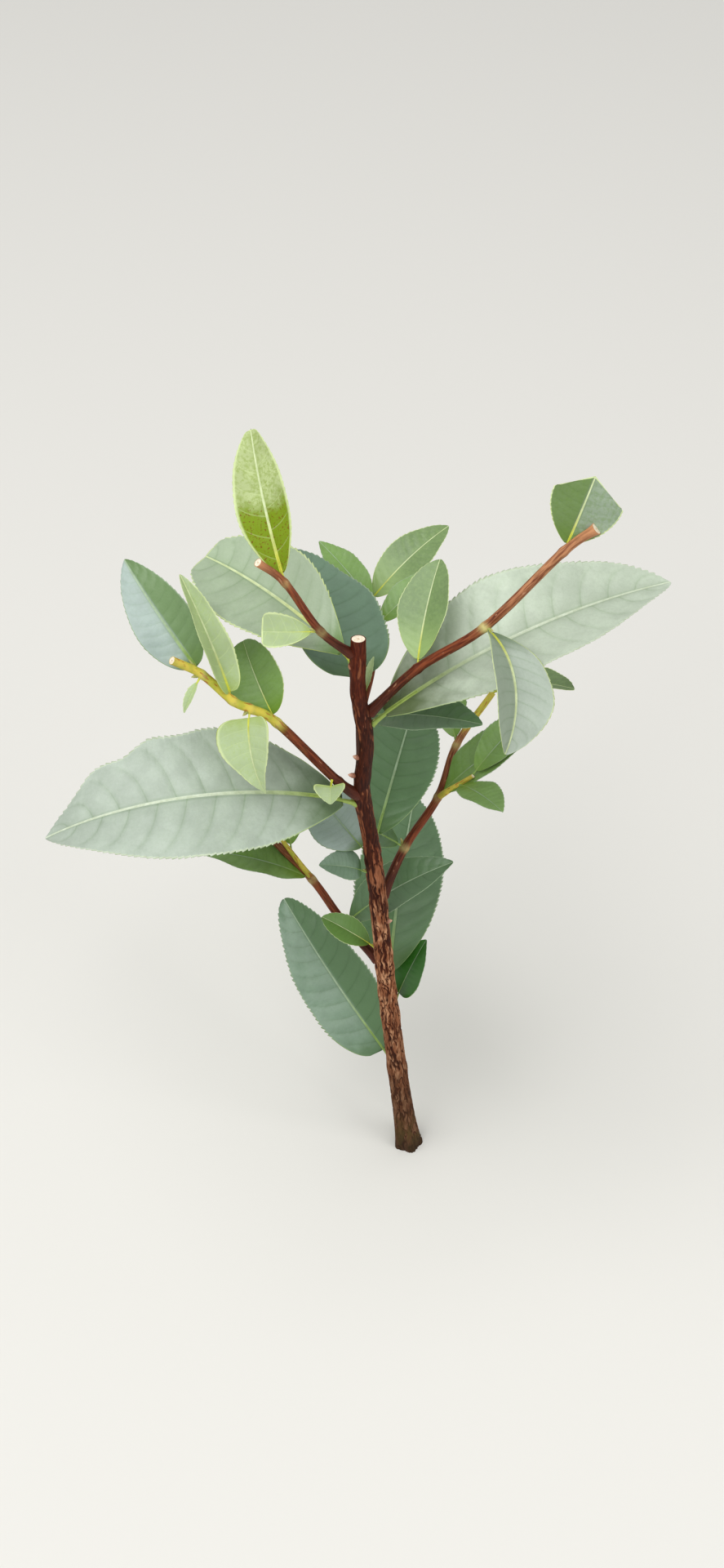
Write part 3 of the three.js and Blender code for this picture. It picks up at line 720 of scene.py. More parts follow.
shoot_finishes = [shoot_bark_finish(), bpy.data.materials["cut_wood"], bpy.data.materials["pith"]]
shoots = [lay_out(shoot) for shoot in SHOWN_SHOOTS]
shoots += [lay_out(grown_shoot(rule)) for rule in RULE_SHOOTS]
for shoot in shoots:
    limb = bark_rod(
        f"limb_{shoot['name']}", shoot, shoot["limb_start"], shoot["limb_end"], [], shoot_finishes[:1],
    )
    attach(limb, "root")
    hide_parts(f"bough_{shoot['name']}")

# The shoots' twigs
# The younger end of each shoot, past its limb: a thin twig jointed where each leaf
# stands, red-brown or turned yellow-green, and cut across at its tip. One joint of a
# hidden shoot also carries a short side twig. They are joined to one piece for a shoot.
TIP_INSETS = [(0.12, WOOD_SLOT), (0.7, PITH_SLOT)]


def side_twig_path(twig, root):
    tip = root + direction(twig["heading"], GROWTH["twig_rise"]) * twig["length"]
    return path_through(np.array([root, tip]))


def side_twig_rod(name, shoot, twig):
    """A side twig as a shoot of its own, straight and with no joints."""
    root = shoot["points"][twig["node"]]
    place = side_twig_path(twig, root)
    tip_radius = GROWTH["twig_radius"] - GROWTH["twig_taper"]
    small = {
        "points": [root, place(1)], "place": place, "radius": GROWTH["twig_radius"],
        "tip_radius": tip_radius, "bark": 0, "green_from": -0.01,
    }
    return bark_rod(name, small, 0, 1, TIP_INSETS, shoot_finishes)


def join_rods(rods):
    """One object of a twig and its side twigs, or the twig alone."""
    deselect_all()
    for rod in rods:
        rod.select_set(True)
    bpy.context.view_layer.objects.active = rods[0]
    if len(rods) > 1:
        bpy.ops.object.join()
    return rods[0]


for shoot in shoots:
    name = f"twigs_{shoot['name']}"
    rods = [bark_rod(name, shoot, shoot["limb_end"], 1, TIP_INSETS, shoot_finishes)]
    for twig in shoot.get("twigs", []):
        rods.append(side_twig_rod(f"{name}_side", shoot, twig))
    twigs = join_rods(rods)
    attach(twigs, "root")
    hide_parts(f"foliage_{shoot['name']}")

# The leaves on the main stem
# Leathery old leaves on short stalks, the largest as long as a hand is broad, grey-green and
# waxy, the grey partly a painted sheen of bright sky, and a few small ones. Each blade is raised
# between its side veins, with painted shadow along them, pale along its midrib and its edge, and
# toothed from a little above its base to its tip.
STEM_LEAVES = {
    "leaf_low_left": leaf(
        128, 26, 0.074, 0.030, roll=37, fold=11, arch=26, widest=0.75, foot=0.53, point=0.58,
        tone="grey", halves=(0, -0.85), rib=0.75,
    ),
    "leaf_low_back": leaf(
        48, 49, 0.0245, 0.019, roll=11, fold=18, arch=14, widest=0.7, foot=0.6, tone="deep",
    ),
    "leaf_back_one": leaf(82, 12, 0.080, 0.035, roll=6, arch=30, tone="shaded"),
    "leaf_small_front": leaf(
        158, 20, 0.0205, 0.011, roll=26, fold=22, arch=46, widest=0.98, point=0.72,
        tone="moss", halves=(0.2, 0.9), lines="young",
    ),
    "leaf_mid_small": leaf(187, 18, 0.016, 0.013, roll=13, fold=18, arch=34, widest=0.7, tone="grey"),
    "leaf_mid_left": leaf(
        135, 25, 0.0285, 0.022, roll=34, fold=16, arch=20, point=0.7, tone="blue", halves=(0.5, 0.5),
    ),
    "leaf_back_two": leaf(76, 8, 0.0635, 0.029, roll=-8, arch=34, tone="shaded"),
    "leaf_large_left": leaf(
        188, -2, 0.104, 0.049, roll=13, fold=6, arch=68, foot=1, point=0.9, tone="sage",
        halves=(0.1, -0.08), nicks=(
            (-1, 0.5, 0.0006, 0.05), (-1, 0.61, -0.0016, 0.04),
            (-1, 0.7, 0.0008, 0.03), (-1, 0.8, -0.0024, 0.06),
        ),
    ),
    "leaf_large_right": leaf(
        20, 15, 0.107, 0.046, roll=-3, fold=18, arch=37, widest=0.89, foot=1.03, tone="pale",
        halves=(-0.1, 0.2),
    ),
    "leaf_right_axil": leaf(70, 47, 0.0115, 0.004, fold=50, tone="fresh"),
    "leaf_upper_back": leaf(
        110, 4, 0.064, 0.035, roll=-13, fold=7, arch=32, widest=0.71, foot=0.55, point=0.9, tone="slate",
    ),
    "leaf_upper_left": leaf(
        140, 5, 0.0685, 0.035, roll=14, fold=6, arch=50, widest=1.03, foot=1, point=0.9, cut=0.88,
        tone="soft", halves=(0, 0.7), rib=1.2,
    ),
}
LEAF_NECK = 0.07
LEAF_TIP = 0.02
LEAF_SWELL = 0.97
LEAF_THICKNESS_SHARE = 0.0042
LEAF_THICKNESS_LEAST = 0.00028
EDGE_THINNING = 0.5
CUPPING = 0.35
# How far out from the midrib a half's painted light or painted shade is full
PAINTED_SHADING_FULL_FROM = 0.06
RIB_SHARE = 0.0088
RIB_TAPER = 0.7
RIB_DEPTH = 0.8
RIB_GROOVE = 0.35
RIB_MOST = 0.6
TEETH_LEAST = 5
TEETH_FROM = 0.16
TEETH_FULL_FROM = 0.24
TEETH_FADE = (1, 0.96)
COARSE_TOOTH = {"pitch": 0.0020, "depth": 0.00062}
FINE_TOOTH = {"pitch": 0.0019, "depth": 0.00022}
TOOTHED_FROM_LENGTH = 0.052
TOOTH_STEPS = (0, 0.42, 0.78, 0.97)
TOOTH_RISES = (0, 0.52, 0.9, 1)
TOOTH_SIZES = (0.5, 1.5)
TOOTH_COLUMN_POWER = 14
PLAIN_STATIONS = 12
CUT_RIM = 0.0005
CUT_CORNER = 0.0018
# Places of a half blade's columns, from the midrib's edge at 0 out to the margin at 1
COLUMNS = np.array([0, 0.05, 0.12, 0.2, 0.29, 0.38, 0.47, 0.56, 0.65, 0.73, 0.8, 0.87, 0.93, 0.972, 1])
OLD_VEINS = 11
YOUNG_VEINS = 7
VEIN_RISE = 0.05
VEIN_CURVE = 0.06
VEIN_STAGGER = 0.35
VEIN_GROOVE = 0.0034
VEIN_WIDTH = 0.045
BETWEEN_VEINS = 0.5
OLD_QUILT_LIFT = 0.0024
YOUNG_QUILT_LIFT = 0.0045
# Where the panels between the veins swell up and die away again, out to the margin and along a blade
QUILT_ACROSS = ((0, 0.14), (1, 0.8))
QUILT_ALONG = ((0.02, 0.12), (1, 0.88))
WAVES = 2.6
WAVE_LIFT = 0.010
WAVE_SIZES = (0.5, 1)
WAVE_FROM = 0.2
DENT_LENGTH = 0.011
DENT_LIFT = 0.0014
# How often dents follow each other along and across a blade, and how slanting their rows are
DENT_PACES = (5.1, 6.3)
DENT_SLANTS = (2.2, 5)
DENTS_FROM = 0.3
STALK_SHARE = 0.05
STALK_LEAST = 0.0022
STALK_REACH = 0.12
STALK_RADIUS_SHARE = 0.0098
STALK_RADIUS_LEAST = 0.00042
STALK_TAPER = 0.55
STALK_FOOT = 0.55
STALK_FOOT_LENGTH = 0.12
STALK_CHANNEL = 0.22
STALK_SIDES = 14
STALK_RINGS = 18
STALK_SPARE = 0.001
JOINT_GAP = 0.0003
BAKE_ROOM = 0.0005
BAKE_SQUARE_STEP = 1.03
FACE, BACK, RIB, EDGE = range(4)
YOUNG_TONES = ("fresh", "lime")
# Each tone's colours on its face, at its base and on its underside, how far along the blade the
# base's colour has faded out and is still full, how plain the veins are, and its rib's and edge's age.
# The pale grey and blue-grey of the faces is partly a painted sheen of bright sky. The base's colour
# is the blade's own greener base and, on old leaves, partly painted shade; on old leaves the veins'
# plainness is the depth of their painted shadow.
TONES = {
    "pale": ((186, 198, 178), (80, 98, 46), (184, 198, 164), (0.30, 0.06), 0.6, "old"),
    "sage": ((169, 181, 166), (94, 118, 80), (172, 188, 154), (0.26, 0.03), 0.7, "old"),
    "soft": ((156, 172, 144), (108, 142, 72), (164, 182, 138), (0.16, 0.02), 0.6, "young"),
    "blue": ((154, 171, 163), (96, 128, 66), (160, 176, 150), (0.16, 0.02), 0.4, "dim"),
    "grey": ((124, 150, 126), (82, 116, 72), (158, 178, 140), (0.16, 0.02), 0.8, "dim"),
    # slate is darker as painted shade, for a leaf that stands in the shade of the others
    "slate": ((102, 130, 106), (72, 104, 60), (150, 170, 136), (0.16, 0.02), 0.8, "dim"),
    "mist": ((129, 145, 122), (94, 126, 44), (162, 180, 138), (0.24, 0.06), 0.4, "young"),
    "olive": ((112, 138, 84), (150, 178, 108), (160, 182, 130), (0.5, 0.05), 0.25, "young"),
    "moss": ((96, 133, 58), (80, 114, 34), (140, 164, 96), (0.3, 0.0), 0.4, "dim"),
    "deep": ((42, 106, 14), (40, 92, 12), (100, 140, 64), (0.2, 0.0), 0.5, "dim"),
    "green": ((121, 155, 84), (108, 146, 44), (156, 180, 110), (0.3, 0.0), 0.4, "dim"),
    # shaded is darker as painted shade, for leaves low at the back in the others' shade
    "shaded": ((92, 124, 84), (76, 110, 52), (132, 158, 114), (0.2, 0.0), 0.7, "dim"),
    "fresh": ((170, 188, 143), (164, 186, 106), (188, 204, 144), (0.2, 0.0), 0.3, "young"),
    "lime": ((176, 190, 134), (116, 140, 4), (190, 206, 140), (0.54, 0.36), 0.25, "young"),
}
# How much of the base's colour shows in blotches all over a blade, and how dark its brown specks are
USUAL_BLOTCHES = 0.06
BLOTCHES = {"lime": 0.4, "mist": 0.35, "fresh": 0.2, "olive": 0.2, "green": 0.25}
SPECKS = {"lime": 0.85, "fresh": 0.1}
# How waxy a leaf is beside the others; the lime face's colour is lighter by a painted sheen where
# its own wax is less
WAX = {"lime": 0.25, "fresh": 0.7}
SPECK_COLOUR = (112, 76, 20)
YOUNG_VEIN_COLOUR = (200, 216, 154)
# What is left of a colour under painted shadow along an old leaf's veins and beside its midrib,
# in the faint darker net of its fine veins, and where a midrib or margin is dull
VEIN_SHADE = (0.76, 0.82, 0.72, 1)
LINE_SHADE = (0.78, 0.80, 0.72, 1)
# How bright a blade's palest, lighter and duller places are beside its own colour; the palest is
# also the painted light on a lit half
PALE, LIGHT, DULL = 1.18, 1.05, 0.92
# How far along a blade clouds carry the base's colour to and fro
OLD_DRIFT = 0.02
YOUNG_DRIFT = 0.05
NET_SCALE = 560.0
CLOUD_SCALE = 110
GRAIN_SCALE = 1500
BLOTCH_SCALE = 850
LINE_CLOUD_SCALE = 420
FACE_ROUGHNESS = 0.42
UNDERSIDE_ROUGHNESS = 0.6
RIB_ROUGHNESS = 0.45
EDGE_ROUGHNESS = 0.5
# Colours of midribs and of margins, far from the stalk and near it
RIB_COLOURS = {
    "old": ((204, 214, 192), (160, 184, 84)),
    "dim": ((158, 180, 148), (140, 170, 84)),
    "young": ((206, 218, 168), (204, 208, 64)),
}
EDGE_COLOURS = {
    "old": ((196, 208, 184), (160, 184, 108)),
    "dim": ((152, 174, 140), (128, 156, 88)),
    "young": ((208, 222, 164), (186, 204, 92)),
}


def leaf_frame(spec):
    """A leaf's own directions: along its chord, out to its right, and up from its face."""
    along = direction(spec["heading"], spec["rise"])
    level = direction(spec["heading"] - 90, 0)
    roll = math.radians(spec["roll"])
    side = level * math.cos(roll) + np.cross(level, along) * math.sin(roll)
    return along, side, np.cross(side, along)


def midrib(spec, base, share):
    """Places on a blade's middle line, which is an arc over its chord, and the face's normals."""
    along, _, up = leaf_frame(spec)
    half = math.radians(spec["arch"]) / 2
    radius = spec["length"] / (2 * math.sin(half))
    angle = (half - np.asarray(share, float) * 2 * half)[..., None]
    run = radius * (math.sin(half) - np.sin(angle))
    lift = radius * (np.cos(angle) - math.cos(half))
    return base + along * run + up * lift, up * np.cos(angle) - along * np.sin(angle)


def half_width(spec, share):
    """Half a blade's width at shares of its length."""
    turn = np.pi * np.clip(share, 0, 1) ** spec["widest"]
    fullness = np.where(turn < np.pi / 2, spec["foot"], spec["point"])
    swell = np.maximum(0, np.sin(turn)) ** fullness
    return spec["width"] / 2 * (LEAF_NECK * (1 - share) + LEAF_TIP + LEAF_SWELL * swell)


def stations(spec, tooth, chance):
    """Shares of a blade's length with a row of points each, and how far each juts out as a tooth."""
    teeth = max(TEETH_LEAST, round(spec["length"] * (1 - TEETH_FROM) / tooth["pitch"]))
    plain = np.linspace(0, TEETH_FROM, PLAIN_STATIONS, endpoint=False)
    toothed = TEETH_FROM + (1 - TEETH_FROM) * np.add.outer(np.arange(teeth), TOOTH_STEPS).ravel() / teeth
    share = np.concatenate([plain, toothed])
    rises = np.multiply.outer(chance.uniform(*TOOTH_SIZES, teeth), np.array(TOOTH_RISES) - 0.5)
    rise = np.concatenate([np.zeros(PLAIN_STATIONS), rises.ravel()])
    rise = rise * soft_step(share, TEETH_FROM, TEETH_FULL_FROM) * soft_step(share, *TEETH_FADE)
    ends = [1] if spec["cut"] == 1 else [spec["cut"] - CUT_RIM / spec["length"], spec["cut"]]
    kept = share < ends[0]
    return np.append(share[kept], ends), tooth["depth"] * np.append(rise[kept], [0] * len(ends))


def half_blade(spec, hand, share, jut, chance):
    """One half of a blade: where each station's points lie, from the midrib out to the margin."""
    young = spec["tone"] in YOUNG_TONES
    veins = YOUNG_VEINS if young else OLD_VEINS
    quilt_lift = YOUNG_QUILT_LIFT if young else OLD_QUILT_LIFT
    outer = half_width(spec, share * (1 - spec["shorn"]))
    if spec["cut"] < 1:
        into_corner = np.clip(1 - (spec["cut"] - share) * spec["length"] / CUT_CORNER, 0, 1)
        outer = outer - CUT_CORNER * (1 - np.sqrt(1 - into_corner**2))
    for nicked, place, depth, width in spec["nicks"]:
        outer = outer - (nicked == hand) * depth * np.exp(-(((share - place) / width) ** 2))
    outer = outer[:, None]
    rib_width = RIB_SHARE * spec["rib"] * spec["length"] * (1 - RIB_TAPER * share)[:, None]
    rib = np.minimum(rib_width, RIB_MOST * outer)
    reach = rib + (outer + jut[:, None] * COLUMNS**TOOTH_COLUMN_POWER - rib) * COLUMNS
    across = reach / outer
    along = share[:, None] * (1 - spec["shorn"] * np.minimum(1, across))
    run = (along - VEIN_RISE * COLUMNS - VEIN_CURVE * COLUMNS**3) * veins + VEIN_STAGGER * (hand > 0)
    off = np.abs(run - np.round(run))
    inside = 1
    for ends in QUILT_ACROSS:
        inside = inside * soft_step(COLUMNS, *ends)
    for ends in QUILT_ALONG:
        inside = inside * soft_step(along, *ends)
    quilt = inside * quilt_lift * spec["length"] * np.sin(np.pi * off) ** 2
    groove = inside * VEIN_GROOVE * spec["length"] * np.exp(-((off / VEIN_WIDTH) ** 2))
    swing = np.sin(2 * math.pi * WAVES * along + chance.uniform(0, 2 * math.pi))
    wave = WAVE_LIFT * spec["length"] * chance.uniform(*WAVE_SIZES) * COLUMNS**2 * swing
    wave = wave * soft_step(along, 0, WAVE_FROM)
    shift = chance.uniform(0, 2 * math.pi, 4)
    rows = along * spec["length"] / DENT_LENGTH * DENT_PACES[0] + DENT_SLANTS[0] * COLUMNS + shift[0]
    files = reach / DENT_LENGTH * DENT_PACES[1] - DENT_SLANTS[1] * along + shift[1]
    dents = DENT_LIFT * spec["length"] * np.sin(rows) * np.sin(files) * soft_step(COLUMNS, 0, DENTS_FROM)
    folded = math.sin(math.radians(spec["fold"])) * outer * (across + CUPPING * (across**2 - across))
    return {
        "across": hand * reach, "lift": folded + quilt - groove + wave + dents, "rib": rib, "along": along,
        "thinning": 1 - EDGE_THINNING * COLUMNS**4 + 0 * along,
        "lay": np.stack([along, hand * COLUMNS + 0 * along, run], axis=-1),
        # Painted light, or below 0 painted shade, on this half, fading in from the midrib
        "painted_shading": spec["halves"][0 if hand > 0 else 1] * soft_step(COLUMNS, 0, PAINTED_SHADING_FULL_FROM) + 0 * along,
    }


def blade(spec, base, finishes, chance):
    """A leaf's blade as rows of points that run across its face and back along its underside."""
    share, jut = stations(spec, COARSE_TOOTH if spec["length"] > TOOTHED_FROM_LENGTH else FINE_TOOTH, chance)
    right, left = (half_blade(spec, hand, share, jut, chance) for hand in (-1, 1))
    half_thick = max(LEAF_THICKNESS_LEAST, LEAF_THICKNESS_SHARE * spec["length"]) / 2
    middle_lay = np.stack([share, 0 * share, 0 * share + BETWEEN_VEINS], axis=-1)[:, None]
    across, lift, along, lay, painted_shading = [], [], [], [], []
    for face, first, second in ((1, right, left), (-1, left, right)):
        heights = [half["lift"] + face * half_thick * half["thinning"] for half in (first, second)]
        centre = face * half_thick - (RIB_GROOVE if face > 0 else RIB_DEPTH) * first["rib"]
        across += [first["across"][:, ::-1], 0 * centre, second["across"]]
        lift += [heights[0][:, ::-1], centre, heights[1]]
        along += [first["along"][:, ::-1], share[:, None], second["along"]]
        lay += [first["lay"][:, ::-1], middle_lay, second["lay"]]
        painted_shading += [first["painted_shading"][:, ::-1], 0 * centre, second["painted_shading"]]
    across, lift = np.hstack(across)[..., None], np.hstack(lift)[..., None]
    middle, normal = midrib(spec, base, np.hstack(along))
    side = leaf_frame(spec)[1] * math.cos(math.radians(spec["fold"]))
    skins = []
    for flesh in (FACE, BACK):
        flank = [flesh] * (len(COLUMNS) - 2)
        skins += [EDGE, *flank, RIB, RIB, *flank, EDGE, EDGE]
    skins = np.tile(skins, (len(share) - 1, 1))
    if spec["cut"] < 1:
        skins[-1] = EDGE
    return {
        "rows": middle - side * across + normal * lift, "lay": np.hstack(lay), "painted_shading": np.hstack(painted_shading),
        "skins": skins, "cap": EDGE, "finishes": finishes,
    }


def tube_rows(place, radius_at, sides, rings):
    """Rings of points round a path."""
    share = np.linspace(0, 1, rings)
    ahead = unit_vector(place(share + LOOK_AHEAD) - place(share - LOOK_AHEAD))
    side = unit_vector(np.cross((0, 0, 1), ahead))
    up = np.cross(ahead, side)
    turn = np.arange(sides) * 2 * math.pi / sides
    ring = side[:, None] * np.cos(turn)[:, None] + up[:, None] * np.sin(turn)[:, None]
    return place(share)[:, None] + ring * radius_at(share[:, None], turn)[..., None]


def leaf_parts(spec, anchor, chance, clear=0, on_stem=False):
    """A leaf's stalk and blade, from an anchor on a twig or, where it keeps clear of the axis of a
    limb or the stem, from the bark."""
    along, _, up = leaf_frame(spec)
    half = math.radians(spec["arch"]) / 2
    out = along * math.cos(half) + up * math.sin(half)
    stalk = max(STALK_LEAST, STALK_SHARE * spec["length"]) + (0 if clear else STALK_SPARE)
    start = clear / math.hypot(out[0], out[1]) if on_stem else clear
    base = anchor + out * (start + stalk)
    root = anchor + out * max(0, start - SUNK_IN_STEM)
    inner = midrib(spec, base, STALK_REACH)[0]
    thick = max(STALK_RADIUS_LEAST, STALK_RADIUS_SHARE * spec["length"])
    finishes = [*LEAF_FINISHES[spec["tone"]], *LINE_FINISHES[spec["lines"] or TONES[spec["tone"]][-1]]]

    def radius_at(share, turn):
        foot = STALK_FOOT * np.exp(-share / STALK_FOOT_LENGTH)
        channel = STALK_CHANNEL * np.maximum(0, np.sin(turn)) ** 4
        return thick * (1 + foot - STALK_TAPER * share) * (1 - channel)

    rows = tube_rows(path_through(np.array([root, base, inner])), radius_at, STALK_SIDES, STALK_RINGS)
    lay = np.zeros((*rows.shape[:2], 3)) + (0, 0, BETWEEN_VEINS)
    stalk_part = {
        "rows": rows, "lay": lay, "painted_shading": lay[..., 0], "skins": RIB, "cap": RIB, "finishes": finishes,
    }
    return [stalk_part, blade(spec, base, finishes, chance)]


def set_out(sizes):
    """Sets rectangles out in rows in a square: gives each one's corner, and the square's side."""
    order = sorted(range(len(sizes)), key=lambda index: -sizes[index][1])
    side = math.sqrt(sum(width * height for width, height in sizes))
    while True:
        corners, x, y, row_height = {}, 0, 0, 0
        for index in order:
            width, height = sizes[index]
            if x + width > side:
                x, y, row_height = 0, y + row_height, 0
            corners[index] = (x, y)
            x, row_height = x + width, max(row_height, height)
        if y + row_height <= side and max(width for width, _ in sizes) <= side:
            return corners, side
        side *= BAKE_SQUARE_STEP


def skin_over(part):
    """The faces over a part's rows and ends: each corner's vertex, and its place on a flat map."""
    rows = part["rows"]
    count, around = rows.shape[:2]
    run_u = np.linalg.norm(rows - np.roll(rows, -1, axis=1), axis=2).max(axis=0)
    u = np.concatenate([[0], np.cumsum(run_u)])
    middle = rows.mean(axis=1)
    v = np.concatenate([[0], np.cumsum(np.linalg.norm(np.diff(middle, axis=0), axis=1))]) + 2 * BAKE_ROOM
    row, column = np.mgrid[0 : count - 1, 0:around]
    row, column = row.ravel(), column.ravel()
    corners = np.stack([
        row * around + column, row * around + (column + 1) % around,
        (row + 1) * around + (column + 1) % around, (row + 1) * around + column,
    ], axis=1)
    flat_u = np.stack([u[column], u[column + 1], u[column + 1], u[column]], axis=1)
    flat_v = np.stack([v[row], v[row], v[row + 1], v[row + 1]], axis=1)
    skins = np.broadcast_to(part["skins"], (count - 1, around)).ravel()
    near = np.arange(around // 2 - 1)
    far = around - 1 - near
    last = (count - 1) * around
    caps = np.vstack([
        np.stack([near + 1, near, far, far - 1], axis=1),
        last + np.stack([near, near + 1, far - 1, far], axis=1),
    ])
    cap_u = np.vstack([
        np.stack([u[near + 1], u[near], u[near], u[near + 1]], axis=1),
        np.stack([u[near], u[near + 1], u[near + 1], u[near]], axis=1),
    ])
    cap_v = np.repeat([[v[0], v[0], v[0] - BAKE_ROOM, v[0] - BAKE_ROOM],
                       [v[-1], v[-1], v[-1] + BAKE_ROOM, v[-1] + BAKE_ROOM]], len(near), axis=0)
    corners = np.vstack([corners, caps])
    places = rows.reshape(-1, 3)
    a, b, c, d = (places[corners[:, index]] for index in range(4))
    volume = np.einsum("ij,ij->", a, np.cross(b, c)) + np.einsum("ij,ij->", a, np.cross(c, d))
    turned = slice(None, None, -1 if volume < 0 else 1)
    return {
        "places": places, "corners": corners[:, turned],
        "u": np.vstack([flat_u, cap_u])[:, turned], "v": np.vstack([flat_v, cap_v])[:, turned],
        "skins": np.concatenate([skins, np.full(len(caps), part["cap"])]),
        "size": (u[-1] + BAKE_ROOM, v[-1] + 2 * BAKE_ROOM),
    }


def join_parts(name, parts):
    """One object of all the parts, with a bake map on which none of them overlap."""
    skins = [skin_over(part) for part in parts]
    corners, side = set_out([skin["size"] for skin in skins])
    finishes = []
    places, faces, slots, flat = [], [], [], []
    start = 0
    for index, (part, skin) in enumerate(zip(parts, skins)):
        for finish in part["finishes"]:
            if finish not in finishes:
                finishes.append(finish)
        own = np.array([finishes.index(finish) for finish in part["finishes"]])
        places.append(skin["places"])
        faces.append(skin["corners"] + start)
        slots.append(own[skin["skins"]])
        x, y = corners[index]
        flat.append(np.stack([skin["u"] + x, skin["v"] + y], axis=-1).reshape(-1, 2) / side)
        start += len(skin["places"])
    mesh = bpy.data.meshes.new(name)
    mesh.from_pydata(np.vstack(places), [], np.vstack(faces))
    for finish in finishes:
        mesh.materials.append(finish)
    mesh.polygons.foreach_set("material_index", np.concatenate(slots))
    mesh.polygons.foreach_set("use_smooth", np.ones(len(mesh.polygons), bool))
    mesh.uv_layers.new(name="OFBake").data.foreach_set("uv", np.vstack(flat).ravel())
    mark(mesh, "lay", np.vstack([part["lay"].reshape(-1, 3) for part in parts]))
    # Each vertex keeps its half's painted light or painted shade
    mark(mesh, "painted_shading", np.concatenate([part["painted_shading"].ravel() for part in parts]))
    mesh.update()
    made = bpy.data.objects.new(name, mesh)
    bpy.context.collection.objects.link(made)
    return made


def brightened(colour, share):
    """A colour with a share of its light, up to the most that a surface can give back."""
    return (*(min(1, share * part) for part in colour[:3]), 1)


def leaf_flesh_finish(tone, side, colour, roughness):
    """A blade's surface: side veins and a fine net between them, greener and darker towards its
    stalk, partly its own colour and, on old leaves, partly painted shade. Each half carries its
    painted light or shade, and an old blade has painted shadow along its veins.
    """
    _, shade, _, reach, veined, _ = TONES[tone]
    young = tone in YOUNG_TONES
    wax = WAX.get(tone, 1)
    colour, shade = linear(*colour), linear(*shade)
    finish, tree, shader = new_finish(
        f"{tone}_leaf_{side}", colour, roughness,
        Specular_IOR_Level=0.5 * wax, Coat_Weight=0.2 * wax, Coat_Roughness=0.36,
    )
    place = object_place(tree)
    painted_shading = marked(tree, "painted_shading")
    parts = add_node(tree, "SeparateXYZ", Vector=marked(tree, "lay", "Vector"))
    along, run = parts.outputs[0], parts.outputs[2]
    out = work_out(tree, "ABSOLUTE", parts.outputs[1])
    from_vein = work_out(tree, "PINGPONG", run, BETWEEN_VEINS)
    open_blade = between(tree, out, 0.97, 0.75)
    clouds = grained_noise(tree, place, CLOUD_SCALE, 4, 0.6)
    grain = grained_noise(tree, place, GRAIN_SCALE, 2)
    blotches = grained_noise(tree, place, BLOTCH_SCALE, 3)
    pale, light, dull = (brightened(colour, share) for share in (PALE, LIGHT, DULL))
    skin = blended(tree, between(tree, clouds, 0.34, 0.66), dull, light)
    # Painted light on a lit half of the blade, and painted shade on a shaded half
    skin = blended(tree, between(tree, painted_shading, 0.0, 1.0, 0, 0.8), skin, pale)
    skin = blended(tree, between(tree, painted_shading, 0.0, -1.0, 0, 1), skin, shade)
    # Towards the stalk and beside the midrib the blade turns to its base's colour: its own greener base, and
    # on old leaves partly painted shade
    drift = YOUNG_DRIFT if young else OLD_DRIFT
    uneven = work_out(tree, "ADD", along, between(tree, clouds, 0.3, 0.7, -drift, drift))
    skin = blended(tree, between(tree, uneven, *reach, 0, 0.95), skin, shade)
    skin = blended(tree, between(tree, out, 0.3, 0.0, 0, 0.12), skin, shade)
    most = BLOTCHES.get(tone, USUAL_BLOTCHES)
    skin = blended(tree, between(tree, blotches, 0.42, 0.66, 0, most), skin, shade)
    vein_line = times(tree, between(tree, from_vein, 0.04, 0.012, 0, veined), open_blade)
    if young:
        flush = times(tree, between(tree, grain, 0.5, 0.66, 0, 0.5), between(tree, clouds, 0.4, 0.6))
        skin = blended(tree, times(tree, flush, 0.7), skin, shade)
        specks = times(tree, between(tree, grain, 0.58, 0.66), between(tree, uneven, *reach))
        skin = blended(tree, times(tree, specks, SPECKS[tone]), skin, linear(*SPECK_COLOUR))
        skin = blended(tree, vein_line, skin, linear(*YOUNG_VEIN_COLOUR))
        skin = blended(tree, between(tree, out, 0.86, 0.96, 0, 0.8), skin, linear(*EDGE_COLOURS["young"][0]))
    else:
        # Painted shadow along the old blade's vein grooves, in the dips beside its veins and beside its
        # midrib, and the faint darker net of its fine veins
        net = add_node(tree, "TexVoronoi", {"feature": "DISTANCE_TO_EDGE"}, Vector=place, Scale=NET_SCALE)
        for share in (
            times(tree, vein_line, between(tree, out, 0.8, 0.1, 0.15, 0.9)),
            times(tree, between(tree, from_vein, 0.0, 0.2, 0.5 * veined, 0), open_blade),
            between(tree, net.outputs[0], 0.12, 0.02, 0, 0.12),
            between(tree, out, 0.055, 0.02, 0, 0.6),
        ):
            skin = blended(tree, share, skin, VEIN_SHADE, "MULTIPLY")
        skin = blended(tree, between(tree, out, 0.93, 1.0, 0, 0.4), skin, pale)
    tree.links.new(skin, shader.inputs["Base Color"])
    roughen(tree, shader, grain, 0.00008, 0.5)
    return finish


def leaf_line_finish(name, far, near, roughness):
    """The pale tissue of midribs and margins, which is greener on the stalk and near it."""
    finish, tree, shader = new_finish(name, linear(*far), roughness)
    along = add_node(tree, "SeparateXYZ", Vector=marked(tree, "lay", "Vector")).outputs[0]
    clouds = grained_noise(tree, object_place(tree), LINE_CLOUD_SCALE, 3)
    line = blended(tree, between(tree, along, 0.0, 0.45), linear(*near), linear(*far))
    dull = blended(tree, 1.0, line, LINE_SHADE, "MULTIPLY")
    line = blended(tree, between(tree, clouds, 0.3, 0.7), dull, line)
    tree.links.new(line, shader.inputs["Base Color"])
    roughen(tree, shader, clouds, 0.00008, 0.4)
    return finish


